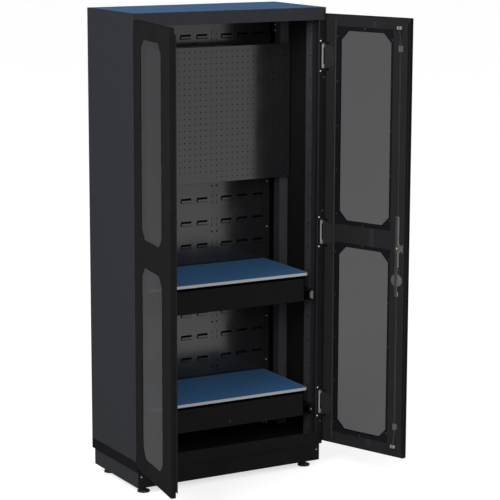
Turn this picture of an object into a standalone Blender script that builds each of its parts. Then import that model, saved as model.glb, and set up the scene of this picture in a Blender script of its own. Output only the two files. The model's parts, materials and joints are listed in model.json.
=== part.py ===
"""Anti-static storage cabinet: glazed double doors, pull-out shelves, pegboard and louvred back wall.

Metres, +Z up. The origin is on the floor under the centre of the carcass, and the front faces -Y.
The cabinet stands with both doors swung open, both shelves pushed in and the lock rods drawn back.
"""
from math import cos, pi, radians, sin

import bmesh
import bpy
from mathutils import Matrix

# Carcass
WIDTH = 0.880
DEPTH = 0.420
HEIGHT = 1.950
SHEET = 0.0012                  # folded steel sheet
FIT = 0.0003                    # gap between pieces that touch
CUT = 0.010                     # how far a cutter runs past the face it opens

# Heights from the floor up
FOOT_HEIGHT = 0.030             # floor to the underside of the plinth
PLINTH_SHOWN = 0.072            # plinth wall that shows below the base tray
BAND_HEIGHT = 0.043             # wall of the base tray
TRAY_RISE = 0.018               # tray floor above the lower edge of its wall
TRAY_LIP = 0.012                # front wall of the tray above its side walls
CAP_HEIGHT = 0.0515             # skirt of the top cap

# Plinth and levelling feet
PLINTH_SIDE_INSET = 0.010
PLINTH_FRONT_INSET = 0.005
GUSSET_SIZE = 0.090             # corner plates that carry the feet
GUSSET_PLATE = 0.003
FOOT_INSET = 0.048              # foot centre from the plinth's outer faces
FOOT_PAD_RADIUS = 0.026
FOOT_PAD_EDGE = 0.006
FOOT_PAD_HEIGHT = 0.013
FOOT_NECK_RADIUS = 0.010
FOOT_NUT_RADIUS = 0.011
FOOT_NUT_HEIGHT = 0.008
FOOT_STEM_RADIUS = 0.006
FOOT_STEM_ABOVE = 0.025         # stem that stands above the corner plate
FOOT_SIDES = 16

# Sides, uprights and top
FRONT_FLANGE = 0.028
FRONT_RETURN = 0.012
REAR_FLANGE = 0.020
UPRIGHT_WIDTH = 0.040
UPRIGHT_DEPTH = 0.048
FRONT_UPRIGHT_SETBACK = 0.040   # cabinet front to the front upright
REAR_UPRIGHT_SETBACK = 0.075    # cabinet back to the rear upright
CAP_TOP_THICKNESS = 0.006
MAT_INSET = 0.011
MAT_THICKNESS = 0.003

# Louvred back wall
LOUVRE_PANELS = ("left", "middle", "right")
LOUVRE_SIDE_GAP = 0.0329        # cabinet side to the outermost panel
LOUVRE_SEAM = 0.0006            # gap between neighbouring panels
LOUVRE_STANDOFF = 0.021         # cabinet back to the face of the panels
LOUVRE_FLOOR_GAP = 0.030        # tray floor to the panels
LOUVRE_TOP_GAP = 0.020          # top of the cabinet to the panels
LOUVRE_COLUMNS = 3
LOUVRE_COLUMN_PITCH = 0.0775
LOUVRE_ROW_PITCH = 0.100
LOUVRE_FIRST_ROW = 0.108        # top of a panel to the upper edge of its first row
LOUVRE_LAST_ROW = 0.030         # least distance from the last row to the panel's lower end
LOUVRE_WIDTH = 0.050
LOUVRE_HEIGHT = 0.020
LOUVRE_REACH = 0.008            # how far the upper edge stands out
LOUVRE_TAPER = 0.0015           # the upper edge is narrower by this at each end

# Pegboard on the rear uprights
PEGBOARD_SIDE_GAP = 0.010       # cabinet side to the pegboard
PEGBOARD_TOP_GAP = 0.166        # top of the cabinet to the pegboard
PEGBOARD_HEIGHT = 0.568
PEGBOARD_STANDOFF = 0.029       # its face in front of the rear uprights
PEG_PITCH = 0.050
PEG_HOLE = 0.007
PEG_MARGIN = 0.025              # least distance from a hole's centre to the edge

# Pull-out shelves
SHELF_TOPS = {"upper": 0.848, "lower": 0.354}
SHELF_SETBACK = 0.008           # cabinet front to the front edge of the board
SHELF_BACK_GAP = 0.009          # back edge of the board to the louvres
BOARD_OVERHANG = 0.019          # board past the carrier on each side
BOARD_THICKNESS = 0.016
BOARD_CORNER = 0.012
CARRIER_HEIGHT = 0.104
CARRIER_SETBACK = 0.004         # front edge of the board to the carrier's front wall
CARRIER_BACK_GAP = 0.006        # carrier's back wall to the back edge of the board
RUNNER_SPACE = 0.0465           # upright to the carrier's side wall
RUNNER_DROP = 0.098             # top of the board to the centre of the runners
RUNNER_HEIGHT = 0.045
RUNNER_FLANGE = 0.032
RUNNER_SETBACK = 0.014          # cabinet front to the front end of the runners
RUNNER_BACK_GAP = 0.023         # back end of the runners to the back edge of the board

# Doors: u runs from the hinge edge to the free edge, v from the outer face inwards
DOOR_GAP = 0.003                # between the two doors when shut
DOOR_RISE = 0.0214              # lower edge of the tray's wall to the door
DOOR_TOP_GAP = 0.0244           # door to the top of the cabinet
DOOR_THICKNESS = 0.020
DOOR_STANDOFF = 0.0045          # inner face to the carcass front when shut
DOOR_SHEET = 0.0012
HINGE_EDGE_FLANGE = 0.006
LEFT_DOOR_OPEN = radians(99.0)
RIGHT_DOOR_OPEN = radians(110.3)
PIVOT_U = 0.0085
PIVOT_V = 0.010
LINER_START = 0.021             # u where the raised inner liner begins
LINER_EDGE_GAP = 0.0005         # liner to the flanges at the free edge, top and bottom
HINGE_STILE = 0.071             # hinge edge to the recesses that hold the panes
FREE_STILE = 0.0905             # recesses to the free edge
DOOR_RAIL = 0.0666              # window to the door's upper or lower end
MIDDLE_RAIL = 0.110             # between the two windows
WINDOW_OVERLAP = 0.012          # pane that lies behind the skin round each window
WINDOW_CHAMFER = 0.037
PANE_THICKNESS = 0.003
ASTRAGAL_LAP = 0.0335           # overlap strip on the left door, from its free edge inwards
ASTRAGAL_REACH = 0.019          # how far it stands past the free edge
ASTRAGAL_END_GAP = 0.024        # from the door's ends

# Hinges
TOP_HINGE_DROP = 0.1736         # door top to the centre of the top hinge
BOTTOM_HINGE_RISE = 0.1656      # door bottom to the centre of the bottom hinge
MIDDLE_HINGE_DROP = 0.0055      # middle of the door to the centre of the middle hinge
PIN_RADIUS = 0.0025
PIN_CLEARANCE = 0.0003
KNUCKLE_RADIUS = 0.005
EAR_INNER = 0.0515              # hinge centre to the inner face of each ear
EAR_THICKNESS = 0.005
EAR_HALF_WIDTH = 0.0036
EAR_BASE = 0.022                # reach of the ear's base from the pivot
EAR_BASE_EDGE = 0.0037          # height of the ear's end face
BRACKET_FOOT_LENGTH = 0.0215
BRACKET_FOOT_PLATE = 0.002
LEAF_PLATE = 0.002
LEAF_REACH = 0.0545
LEAF_TIP_HALF = 0.036
NOTCH_CLEARANCE = 0.0025
ROUND_SIDES = 12

# Espagnolette lock on the right door
LOCK_INSET = 0.0445             # free edge of the door to the lock's centre
LOCK_HEIGHT = 0.866
CAM_RADIUS = 0.026
CAM_PLATE = 0.002
CRANK = 0.0113                  # cam centre to each driving pin
CRANK_START = radians(45)
CRANK_PIN_RADIUS = 0.0025
CRANK_PIN_LENGTH = 0.004
YOKE_PLATE = 0.003
YOKE_INNER = 0.0028             # inner edge of each yoke from the lock's centre line
YOKE_OUTER = 0.017
YOKE_END = 0.007                # yoke past the slot's centre line
YOKE_NECK = 0.028
YOKE_LENGTH = 0.045
SLOT_CLEARANCE = 0.0005
ROD_RADIUS = 0.0035
ROD_BEND = 0.030                # length of the bent end
ROD_TIP = 0.026                 # straight tip past the bend
ROD_TIP_GAP = 0.0028            # tip to the back of the cap's skirt and of the tray's lip when shut
ROD_END_GAP = 0.005             # tip to the lower edge of the cap, and to the upper edge of the lip
END_GUIDE_INSET = 0.090         # rod tip to the centre of the guide next to it
MIDDLE_GUIDE_RISE = 0.132       # lock's centre to the middle guide
GUIDE_HALF_WIDTH = 0.016
GUIDE_HALF_LOOP = 0.006
GUIDE_LENGTH = 0.024
GUIDE_ROD_GAP = 0.0006
SPINDLE_RADIUS = 0.006
SPINDLE_CLEARANCE = 0.0015      # spindle to the hole in the door
ROSETTE_RADIUS = 0.026
ROSETTE_HEIGHT = 0.008
HUB_RADIUS = 0.013
HUB_HEIGHT = 0.016
GRIP_LENGTH = 0.074
GRIP_WIDTH = 0.018
GRIP_HEIGHT = 0.016

# Places worked out from the sizes above
SIDE = WIDTH / 2
FRONT = -DEPTH / 2
BACK = DEPTH / 2
BAND_BOTTOM = FOOT_HEIGHT + PLINTH_SHOWN
SIDE_BOTTOM = BAND_BOTTOM + BAND_HEIGHT
LIP_TOP = SIDE_BOTTOM + TRAY_LIP
FLOOR_TOP = BAND_BOTTOM + TRAY_RISE
CAP_BOTTOM = HEIGHT - CAP_HEIGHT
CEILING = HEIGHT - CAP_TOP_THICKNESS
UPRIGHT_FACE = SIDE - SHEET - FIT - UPRIGHT_WIDTH
FRONT_UPRIGHT = FRONT + FRONT_UPRIGHT_SETBACK
REAR_UPRIGHT = BACK - REAR_UPRIGHT_SETBACK - UPRIGHT_DEPTH
REAR_SHEET_FACE = BACK - 2 * SHEET - FIT
LOUVRE_FACE = BACK - LOUVRE_STANDOFF
LOUVRE_PANEL_PITCH = (WIDTH - 2 * LOUVRE_SIDE_GAP + LOUVRE_SEAM) / len(LOUVRE_PANELS)
LOUVRE_PANEL_WIDTH = LOUVRE_PANEL_PITCH - LOUVRE_SEAM
LOUVRE_PANEL_BOTTOM = FLOOR_TOP + LOUVRE_FLOOR_GAP
LOUVRE_PANEL_TOP = HEIGHT - LOUVRE_TOP_GAP
PEGBOARD_FACE = REAR_UPRIGHT - PEGBOARD_STANDOFF
PEGBOARD_WIDTH = WIDTH - 2 * PEGBOARD_SIDE_GAP
PEGBOARD_TOP = HEIGHT - PEGBOARD_TOP_GAP
PEGBOARD_BOTTOM = PEGBOARD_TOP - PEGBOARD_HEIGHT
SHELF_FRONT = FRONT + SHELF_SETBACK
SHELF_BACK = LOUVRE_FACE - LOUVRE_REACH - SHELF_BACK_GAP
CARRIER_SIDE = UPRIGHT_FACE - RUNNER_SPACE
DOOR_WIDTH = SIDE - DOOR_GAP / 2
DOOR_BOTTOM = BAND_BOTTOM + DOOR_RISE
DOOR_TOP = HEIGHT - DOOR_TOP_GAP
DOOR_MIDDLE = (DOOR_BOTTOM + DOOR_TOP) / 2
RECESS_START = HINGE_STILE
RECESS_END = DOOR_WIDTH - FREE_STILE
WINDOWS = {
    "upper": (DOOR_MIDDLE + MIDDLE_RAIL / 2, DOOR_TOP - DOOR_RAIL),
    "lower": (DOOR_BOTTOM + DOOR_RAIL, DOOR_MIDDLE - MIDDLE_RAIL / 2),
}
HINGE_HEIGHTS = {
    "top": DOOR_TOP - TOP_HINGE_DROP,
    "middle": DOOR_MIDDLE - MIDDLE_HINGE_DROP,
    "bottom": DOOR_BOTTOM + BOTTOM_HINGE_RISE,
}
DOOR_FACE = FRONT - DOOR_STANDOFF - DOOR_THICKNESS
PIVOT_X = SIDE - PIVOT_U
PIVOT_Y = DOOR_FACE + PIVOT_V
EAR_OUTER = EAR_INNER + EAR_THICKNESS
EAR_BASE_V = DOOR_THICKNESS + DOOR_STANDOFF - FIT
LEAF_V = DOOR_THICKNESS + FIT
CAM_V = DOOR_THICKNESS + FIT
YOKE_V = CAM_V + CAM_PLATE + FIT
ROD_V = YOKE_V + YOKE_PLATE / 2
ROD_TIP_V = DOOR_THICKNESS + DOOR_STANDOFF + SHEET + ROD_TIP_GAP + ROD_RADIUS
LOCK_U = DOOR_WIDTH - LOCK_INSET
UPPER_TIP = CAP_BOTTOM - ROD_END_GAP
LOWER_TIP = LIP_TOP + ROD_END_GAP
GUIDE_HEIGHTS = {
    "upper": UPPER_TIP - END_GUIDE_INSET,
    "middle": LOCK_HEIGHT + MIDDLE_GUIDE_RISE,
    "lower": LOWER_TIP + END_GUIDE_INSET,
}

PARTS = None
CUTTERS = None


def clear_scene():
    """Empties the scene and makes the collections for the parts and the cutters."""
    global PARTS, CUTTERS
    for old in list(bpy.data.objects):
        bpy.data.objects.remove(old, do_unlink=True)
    PARTS = bpy.data.collections.new("storage_cabinet")
    CUTTERS = bpy.data.collections.new("storage_cabinet_cutters")
    for collection in (PARTS, CUTTERS):
        bpy.context.scene.collection.children.link(collection)


def paint(name, colour, roughness, metallic=0.0, alpha=1.0):
    """A Principled material of one colour."""
    material = bpy.data.materials.new(name)
    material.use_nodes = True
    shader = material.node_tree.nodes["Principled BSDF"]
    shader.inputs["Base Color"].default_value = (*colour, 1.0)
    shader.inputs["Roughness"].default_value = roughness
    shader.inputs["Metallic"].default_value = metallic
    shader.inputs["Alpha"].default_value = alpha
    return material


def link_mesh(name, bm, collection, parent, hand):
    """Makes an object of a bmesh. A hand of -1 mirrors it left to right."""
    if hand < 0:
        bmesh.ops.scale(bm, vec=(-1, 1, 1), verts=bm.verts)
        bmesh.ops.reverse_faces(bm, faces=bm.faces)
    mesh = bpy.data.meshes.new(name)
    bm.to_mesh(mesh)
    bm.free()
    made = bpy.data.objects.new(name, mesh)
    collection.objects.link(made)
    made.parent = parent
    return made


def part(name, bm, material, parent=None, hand=1):
    """One named piece of the cabinet."""
    made = link_mesh(name, bm, PARTS, parent, hand)
    made.data.materials.append(material)
    return made


def combine(target, operation, bm, parent=None, hand=1):
    """Cuts a shape from a piece, or joins it on, with a Boolean modifier."""
    tool = link_mesh(f"{target.name}.{operation.lower()}", bm, CUTTERS, parent, hand)
    tool.hide_render = True
    tool.display_type = "WIRE"
    modifier = target.modifiers.new(operation.title(), "BOOLEAN")
    modifier.operation = operation
    modifier.solver = "EXACT"
    modifier.object = tool


def thicken(target, thickness=SHEET):
    """Gives a folded surface the thickness of its sheet, half to each side."""
    modifier = target.modifiers.new("Sheet", "SOLIDIFY")
    modifier.thickness = thickness
    modifier.solidify_mode = "NON_MANIFOLD"
    modifier.nonmanifold_thickness_mode = "CONSTRAINTS"
    modifier.offset = 0


def box(low, high, bm=None):
    """A box between two corners, added to bm when one is given."""
    bm = bm or bmesh.new()
    middle = [(a + b) / 2 for a, b in zip(low, high)]
    size = [b - a for a, b in zip(low, high)]
    matrix = Matrix.Translation(middle) @ Matrix.Diagonal((*size, 1))
    bmesh.ops.create_cube(bm, size=1, matrix=matrix)
    return bm


def cylinder(centre, radius, length, axis="Z", sides=ROUND_SIDES, bm=None):
    """A cylinder along Y or Z about its centre."""
    bm = bm or bmesh.new()
    matrix = Matrix.Translation(centre)
    if axis == "Y":
        matrix = matrix @ Matrix.Rotation(pi / 2, 4, "X")
    bmesh.ops.create_cone(
        bm, cap_ends=True, segments=sides, radius1=radius, radius2=radius, depth=length, matrix=matrix
    )
    return bm


def prism(outline, low, high, axis="Z"):
    """A flat outline in X and Y (or in X and Z for axis Y), extruded from low to high."""
    bm = bmesh.new()
    if axis == "Z":
        corners = [bm.verts.new((x, y, low)) for x, y in outline]
        rise = (0, 0, high - low)
    else:
        corners = [bm.verts.new((x, low, z)) for x, z in outline]
        rise = (0, high - low, 0)
    face = bm.faces.new(corners)
    grown = bmesh.ops.extrude_face_region(bm, geom=[face])["geom"]
    moved = [item for item in grown if isinstance(item, bmesh.types.BMVert)]
    bmesh.ops.translate(bm, vec=rise, verts=moved)
    bmesh.ops.recalc_face_normals(bm, faces=bm.faces)
    return bm


def fold(path, start, rise):
    """An open surface: a folded line of (x, y, z) points, swept by a vector."""
    bm = bmesh.new()
    points = [bm.verts.new([a + b for a, b in zip(start, point)]) for point in path]
    edges = [bm.edges.new(pair) for pair in zip(points, points[1:])]
    grown = bmesh.ops.extrude_edge_only(bm, edges=edges)["geom"]
    moved = [item for item in grown if isinstance(item, bmesh.types.BMVert)]
    bmesh.ops.translate(bm, vec=rise, verts=moved)
    bmesh.ops.recalc_face_normals(bm, faces=bm.faces)
    return bm


def upright_sheet(width, low, high, y, cuts_x, cuts_z):
    """An upright flat surface with extra edges along the given X and Z lines."""
    bm = bmesh.new()
    middle = Matrix.Translation((0, y, (low + high) / 2))
    matrix = middle @ Matrix.Rotation(pi / 2, 4, "X") @ Matrix.Diagonal((width, high - low, 1, 1))
    bmesh.ops.create_grid(bm, x_segments=1, y_segments=1, size=0.5, matrix=matrix)
    for lines, index in ((cuts_x, 0), (cuts_z, 2)):
        normal = [1.0 if axis == index else 0.0 for axis in range(3)]
        for line in lines:
            everything = bm.verts[:] + bm.edges[:] + bm.faces[:]
            point = [value * line for value in normal]
            bmesh.ops.bisect_plane(bm, geom=everything, plane_co=point, plane_no=normal)
    return bm


def fold_back(bm, edges, depth):
    """Folds a return of the given depth along some edges of a sheet, towards +Y."""
    grown = bmesh.ops.extrude_edge_only(bm, edges=edges)["geom"]
    moved = [item for item in grown if isinstance(item, bmesh.types.BMVert)]
    bmesh.ops.translate(bm, vec=(0, depth, 0), verts=moved)
    bmesh.ops.recalc_face_normals(bm, faces=bm.faces)


def centred(count, pitch):
    """Places of a row of equal steps about zero."""
    return [(index - (count - 1) / 2) * pitch for index in range(count)]


def both_edges(places, width):
    """The two edges of a slot of some width at each place."""
    return [place + side * width / 2 for place in places for side in (-1, 1)]


def arc(centre, radius, start, end, steps):
    """Points along an arc, end points included."""
    turns = [start + (end - start) * index / steps for index in range(steps + 1)]
    return [(centre[0] + radius * cos(turn), centre[1] + radius * sin(turn)) for turn in turns]


def make_base(paints):
    """Plinth with corner plates, four levelling feet and the base tray."""
    side = SIDE - PLINTH_SIDE_INSET
    front = DEPTH / 2 - PLINTH_FRONT_INSET
    top = FLOOR_TOP - SHEET - FIT
    plate_top = FOOT_HEIGHT + GUSSET_PLATE
    plinth = part("plinth", box((-side, -front, FOOT_HEIGHT), (side, front, top)), paints["grey"])
    hollow = box((SHEET - side, SHEET - front, plate_top), (side - SHEET, front - SHEET, top + CUT))
    combine(plinth, "DIFFERENCE", hollow)
    inner_x = side - GUSSET_SIZE
    inner_y = front - GUSSET_SIZE
    below = FOOT_HEIGHT - CUT
    across = box((SHEET - side, -inner_y, below), (side - SHEET, inner_y, plate_top + CUT))
    combine(plinth, "DIFFERENCE", across)
    along = box((-inner_x, SHEET - front, below), (inner_x, front - SHEET, plate_top + CUT))
    combine(plinth, "DIFFERENCE", along)
    holes = bmesh.new()
    for hand in (-1, 1):
        for end in (-1, 1):
            place = (hand * (side - FOOT_INSET), end * (front - FOOT_INSET), FOOT_HEIGHT)
            cylinder(place, FOOT_STEM_RADIUS + FIT, 4 * GUSSET_PLATE, sides=FOOT_SIDES, bm=holes)
            name = f"levelling_foot_{'rear' if end > 0 else 'front'}_{'right' if hand > 0 else 'left'}"
            make_foot(name, place, paints["black"])
    combine(plinth, "DIFFERENCE", holes)

    tray = box((-SIDE, FRONT, BAND_BOTTOM), (SIDE, BACK, LIP_TOP))
    tray = part("base_tray", tray, paints["black"])
    inside = (SIDE - SHEET, BACK - SHEET)
    upper = box((-inside[0], -inside[1], FLOOR_TOP), (inside[0], inside[1], LIP_TOP + CUT))
    combine(tray, "DIFFERENCE", upper)
    lower = box((-inside[0], -inside[1], BAND_BOTTOM - CUT), (inside[0], inside[1], FLOOR_TOP - SHEET))
    combine(tray, "DIFFERENCE", lower)
    rim = box((-SIDE - CUT, FRONT + SHEET, SIDE_BOTTOM), (SIDE + CUT, BACK + CUT, LIP_TOP + CUT))
    combine(tray, "DIFFERENCE", rim)
    ends = bmesh.new()
    for hand in (-1, 1):
        near = hand * (SIDE - FRONT_FLANGE - SHEET - FIT)
        far = hand * (SIDE + CUT)
        box((min(near, far), FRONT - CUT, SIDE_BOTTOM), (max(near, far), FRONT + CUT, LIP_TOP + CUT), ends)
    combine(tray, "DIFFERENCE", ends)


def make_foot(name, place, material):
    """A levelling foot turned in one piece: pad, neck, nut under the corner plate and stem."""
    nut_top = FOOT_HEIGHT - FIT
    profile = [
        (0, FOOT_HEIGHT + GUSSET_PLATE + FOOT_STEM_ABOVE),
        (FOOT_STEM_RADIUS, FOOT_HEIGHT + GUSSET_PLATE + FOOT_STEM_ABOVE),
        (FOOT_STEM_RADIUS, nut_top),
        (FOOT_NUT_RADIUS, nut_top),
        (FOOT_NUT_RADIUS, nut_top - FOOT_NUT_HEIGHT),
        (FOOT_STEM_RADIUS, nut_top - FOOT_NUT_HEIGHT),
        (FOOT_STEM_RADIUS, FOOT_PAD_HEIGHT),
        (FOOT_NECK_RADIUS, FOOT_PAD_HEIGHT),
        (FOOT_PAD_RADIUS, FOOT_PAD_EDGE),
        (FOOT_PAD_RADIUS, 0),
        (0, 0),
    ]
    bm = bmesh.new()
    points = [bm.verts.new((x, 0, z)) for x, z in profile]
    for pair in zip(points, points[1:]):
        bm.edges.new(pair)
    foot = part(name, bm, material)
    foot.location = (place[0], place[1], 0)
    turn = foot.modifiers.new("Turned", "SCREW")
    turn.steps = FOOT_SIDES
    turn.render_steps = FOOT_SIDES
    turn.use_merge_vertices = True
    turn.merge_threshold = 0.00001
    turn.use_smooth_shade = False


def make_carcass(paints):
    """Side panels, uprights, rear sheet and the top cap with its mat."""
    half = SHEET / 2
    outer = SIDE - half
    for side, hand in (("left", -1), ("right", 1)):
        path = [
            (SIDE - FRONT_FLANGE - half, FRONT + FRONT_RETURN, 0),
            (SIDE - FRONT_FLANGE - half, FRONT + half, 0),
            (outer, FRONT + half, 0),
            (outer, BACK - half, 0),
            (SIDE - REAR_FLANGE, BACK - half, 0),
        ]
        bottom = SIDE_BOTTOM + FIT
        panel = fold(path, (0, 0, bottom), (0, 0, CAP_BOTTOM - FIT - bottom))
        thicken(part(f"{side}_side_panel", panel, paints["grey"], hand=hand))
        for end, front in (("front", FRONT_UPRIGHT), ("rear", REAR_UPRIGHT)):
            wall = SIDE - SHEET - FIT
            path = [
                (wall, front + half, 0),
                (UPRIGHT_FACE + half, front + half, 0),
                (UPRIGHT_FACE + half, front + UPRIGHT_DEPTH - half, 0),
                (wall, front + UPRIGHT_DEPTH - half, 0),
            ]
            bottom = FLOOR_TOP + FIT
            upright = fold(path, (0, 0, bottom), (0, 0, CEILING - FIT - bottom))
            thicken(part(f"{side}_{end}_upright", upright, paints["black"], hand=hand))

    width = SIDE - SHEET - FIT
    rear = box((-width, REAR_SHEET_FACE, FLOOR_TOP + FIT), (width, REAR_SHEET_FACE + SHEET, CEILING - FIT))
    part("rear_sheet", rear, paints["black"])

    cap = part("top_cap", box((-SIDE, FRONT, CAP_BOTTOM), (SIDE, BACK, HEIGHT)), paints["black"])
    inside = (SIDE - SHEET, BACK - SHEET)
    hollow = box((-inside[0], -inside[1], CAP_BOTTOM - CUT), (inside[0], inside[1], CEILING))
    combine(cap, "DIFFERENCE", hollow)
    bed = HEIGHT - MAT_THICKNESS - FIT
    rim = (SIDE - MAT_INSET, BACK - MAT_INSET)
    combine(cap, "DIFFERENCE", box((-rim[0], -rim[1], bed), (rim[0], rim[1], HEIGHT + CUT)))
    mat = (rim[0] - FIT, rim[1] - FIT)
    mat = box((-mat[0], -mat[1], bed + FIT), (mat[0], mat[1], HEIGHT))
    part("top_mat", mat, paints["blue"])


def make_louvre_panels(paints):
    """Three upright panels side by side, with rows of flaps pressed out for hooks and bins."""
    columns = centred(LOUVRE_COLUMNS, LOUVRE_COLUMN_PITCH)
    first = LOUVRE_PANEL_TOP - LOUVRE_FIRST_ROW - LOUVRE_HEIGHT / 2
    last = LOUVRE_PANEL_BOTTOM + LOUVRE_LAST_ROW + LOUVRE_HEIGHT / 2
    count = int((first - last) / LOUVRE_ROW_PITCH) + 1
    rows = [first - index * LOUVRE_ROW_PITCH for index in range(count)]
    places = centred(len(LOUVRE_PANELS), LOUVRE_PANEL_PITCH)
    for name, place in zip(LOUVRE_PANELS, places):
        bm = upright_sheet(
            LOUVRE_PANEL_WIDTH - SHEET,
            LOUVRE_PANEL_BOTTOM,
            LOUVRE_PANEL_TOP,
            LOUVRE_FACE + SHEET / 2,
            both_edges(columns, LOUVRE_WIDTH),
            both_edges(rows, LOUVRE_HEIGHT),
        )
        press_louvres(bm, columns, rows)
        reach = (LOUVRE_PANEL_WIDTH - SHEET) / 2 - FIT
        sides = [edge for edge in bm.edges if all(abs(vert.co.x) > reach for vert in edge.verts)]
        fold_back(bm, sides, REAR_SHEET_FACE - FIT - LOUVRE_FACE - SHEET / 2)
        panel = part(f"louvre_panel_{name}", bm, paints["satin"])
        panel.location.x = place
        thicken(panel)


def press_louvres(bm, columns, rows):
    """Slits the sheet on three sides of each louvre and leans its upper edge out."""
    flaps = []
    for face in bm.faces:
        centre = face.calc_center_median()
        in_column = any(abs(centre.x - place) < LOUVRE_WIDTH / 4 for place in columns)
        in_row = any(abs(centre.z - place) < LOUVRE_HEIGHT / 4 for place in rows)
        if in_column and in_row:
            flaps.append(face)
    for flap in flaps:
        middle = flap.calc_center_median()
        slits = [edge for edge in flap.edges if any(vert.co.z > middle.z for vert in edge.verts)]
        bmesh.ops.split_edges(bm, edges=slits)
        for vert in flap.verts:
            if vert.co.z > middle.z:
                vert.co.y -= LOUVRE_REACH
                vert.co.x += LOUVRE_TAPER if vert.co.x < middle.x else -LOUVRE_TAPER


def make_pegboard(paints):
    """A perforated panel with folded edges that rests against the two rear uprights."""
    columns = int((PEGBOARD_WIDTH - 2 * PEG_MARGIN) / PEG_PITCH) + 1
    rows = int((PEGBOARD_HEIGHT - 2 * PEG_MARGIN) / PEG_PITCH) + 1
    across = centred(columns, PEG_PITCH)
    middle = (PEGBOARD_TOP + PEGBOARD_BOTTOM) / 2
    up = [middle + step for step in centred(rows, PEG_PITCH)]
    bm = upright_sheet(
        PEGBOARD_WIDTH - SHEET,
        PEGBOARD_BOTTOM + SHEET / 2,
        PEGBOARD_TOP - SHEET / 2,
        PEGBOARD_FACE + SHEET / 2,
        both_edges(across, PEG_HOLE),
        both_edges(up, PEG_HOLE),
    )
    rim = [edge for edge in bm.edges if edge.is_boundary]
    holes = []
    for cell in bm.faces:
        centre = cell.calc_center_median()
        in_column = any(abs(centre.x - place) < PEG_HOLE / 4 for place in across)
        in_row = any(abs(centre.z - place) < PEG_HOLE / 4 for place in up)
        if in_column and in_row:
            holes.append(cell)
    fold_back(bm, rim, PEGBOARD_STANDOFF - FIT - SHEET / 2)
    bmesh.ops.delete(bm, geom=holes, context="FACES")
    thicken(part("pegboard", bm, paints["satin"]))


def make_shelf(level, top, paints):
    """A pull-out shelf: laminate board on a folded carrier, with a runner on each side."""
    side = CARRIER_SIDE + BOARD_OVERHANG
    corner = (side - BOARD_CORNER, SHELF_FRONT + BOARD_CORNER)
    outline = arc((-corner[0], corner[1]), BOARD_CORNER, pi, 1.5 * pi, 4)
    outline += arc(corner, BOARD_CORNER, 1.5 * pi, 2 * pi, 4)
    outline += [(side, SHELF_BACK), (-side, SHELF_BACK)]
    underside = top - BOARD_THICKNESS
    part(f"{level}_shelf_board", prism(outline, underside, top), paints["blue"])

    wall = SHELF_FRONT + CARRIER_SETBACK
    rear = SHELF_BACK - CARRIER_BACK_GAP
    reach = CARRIER_SIDE
    seat = underside - FIT
    foot = seat - CARRIER_HEIGHT
    carrier = box((-reach, wall, foot), (reach, rear, seat))
    carrier = part(f"{level}_shelf_carrier", carrier, paints["black"])
    hollow = box((SHEET - reach, wall + SHEET, foot - CUT), (reach - SHEET, rear - SHEET, seat - SHEET))
    combine(carrier, "DIFFERENCE", hollow)

    half = SHEET / 2
    height = top - RUNNER_DROP
    start = FRONT + RUNNER_SETBACK
    length = SHELF_BACK - RUNNER_BACK_GAP - start
    for side_name, hand in (("left", -1), ("right", 1)):
        rise = RUNNER_HEIGHT / 2 - half
        web = UPRIGHT_FACE - FIT - half
        lip = UPRIGHT_FACE - FIT - RUNNER_FLANGE
        outer = fold(
            [(lip, 0, -rise), (web, 0, -rise), (web, 0, rise), (lip, 0, rise)],
            (0, start, height),
            (0, length, 0),
        )
        thicken(part(f"{level}_{side_name}_outer_runner", outer, paints["zinc"], hand=hand))
        rise -= SHEET + FIT
        web = reach + FIT + half
        lip = reach + FIT + RUNNER_FLANGE
        inner = fold(
            [(lip, 0, -rise), (web, 0, -rise), (web, 0, rise), (lip, 0, rise)],
            (0, start, height),
            (0, length, 0),
        )
        thicken(part(f"{level}_{side_name}_inner_runner", inner, paints["zinc"], hand=hand))


def door_empty(side, hand, angle):
    """An empty on a door's hinge axis. In its frame the door lies along X as if it were shut."""
    empty = bpy.data.objects.new(f"{side}_door_axis", None)
    PARTS.objects.link(empty)
    empty.location = (-hand * PIVOT_X, PIVOT_Y, 0)
    empty.rotation_euler.z = -hand * angle
    return empty


def door_box(low, high, bm=None):
    """A box given in a door's u and v, placed about its hinge axis."""
    shift = (PIVOT_U, PIVOT_V, 0)
    low = [a - b for a, b in zip(low, shift)]
    high = [a - b for a, b in zip(high, shift)]
    return box(low, high, bm)


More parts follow.
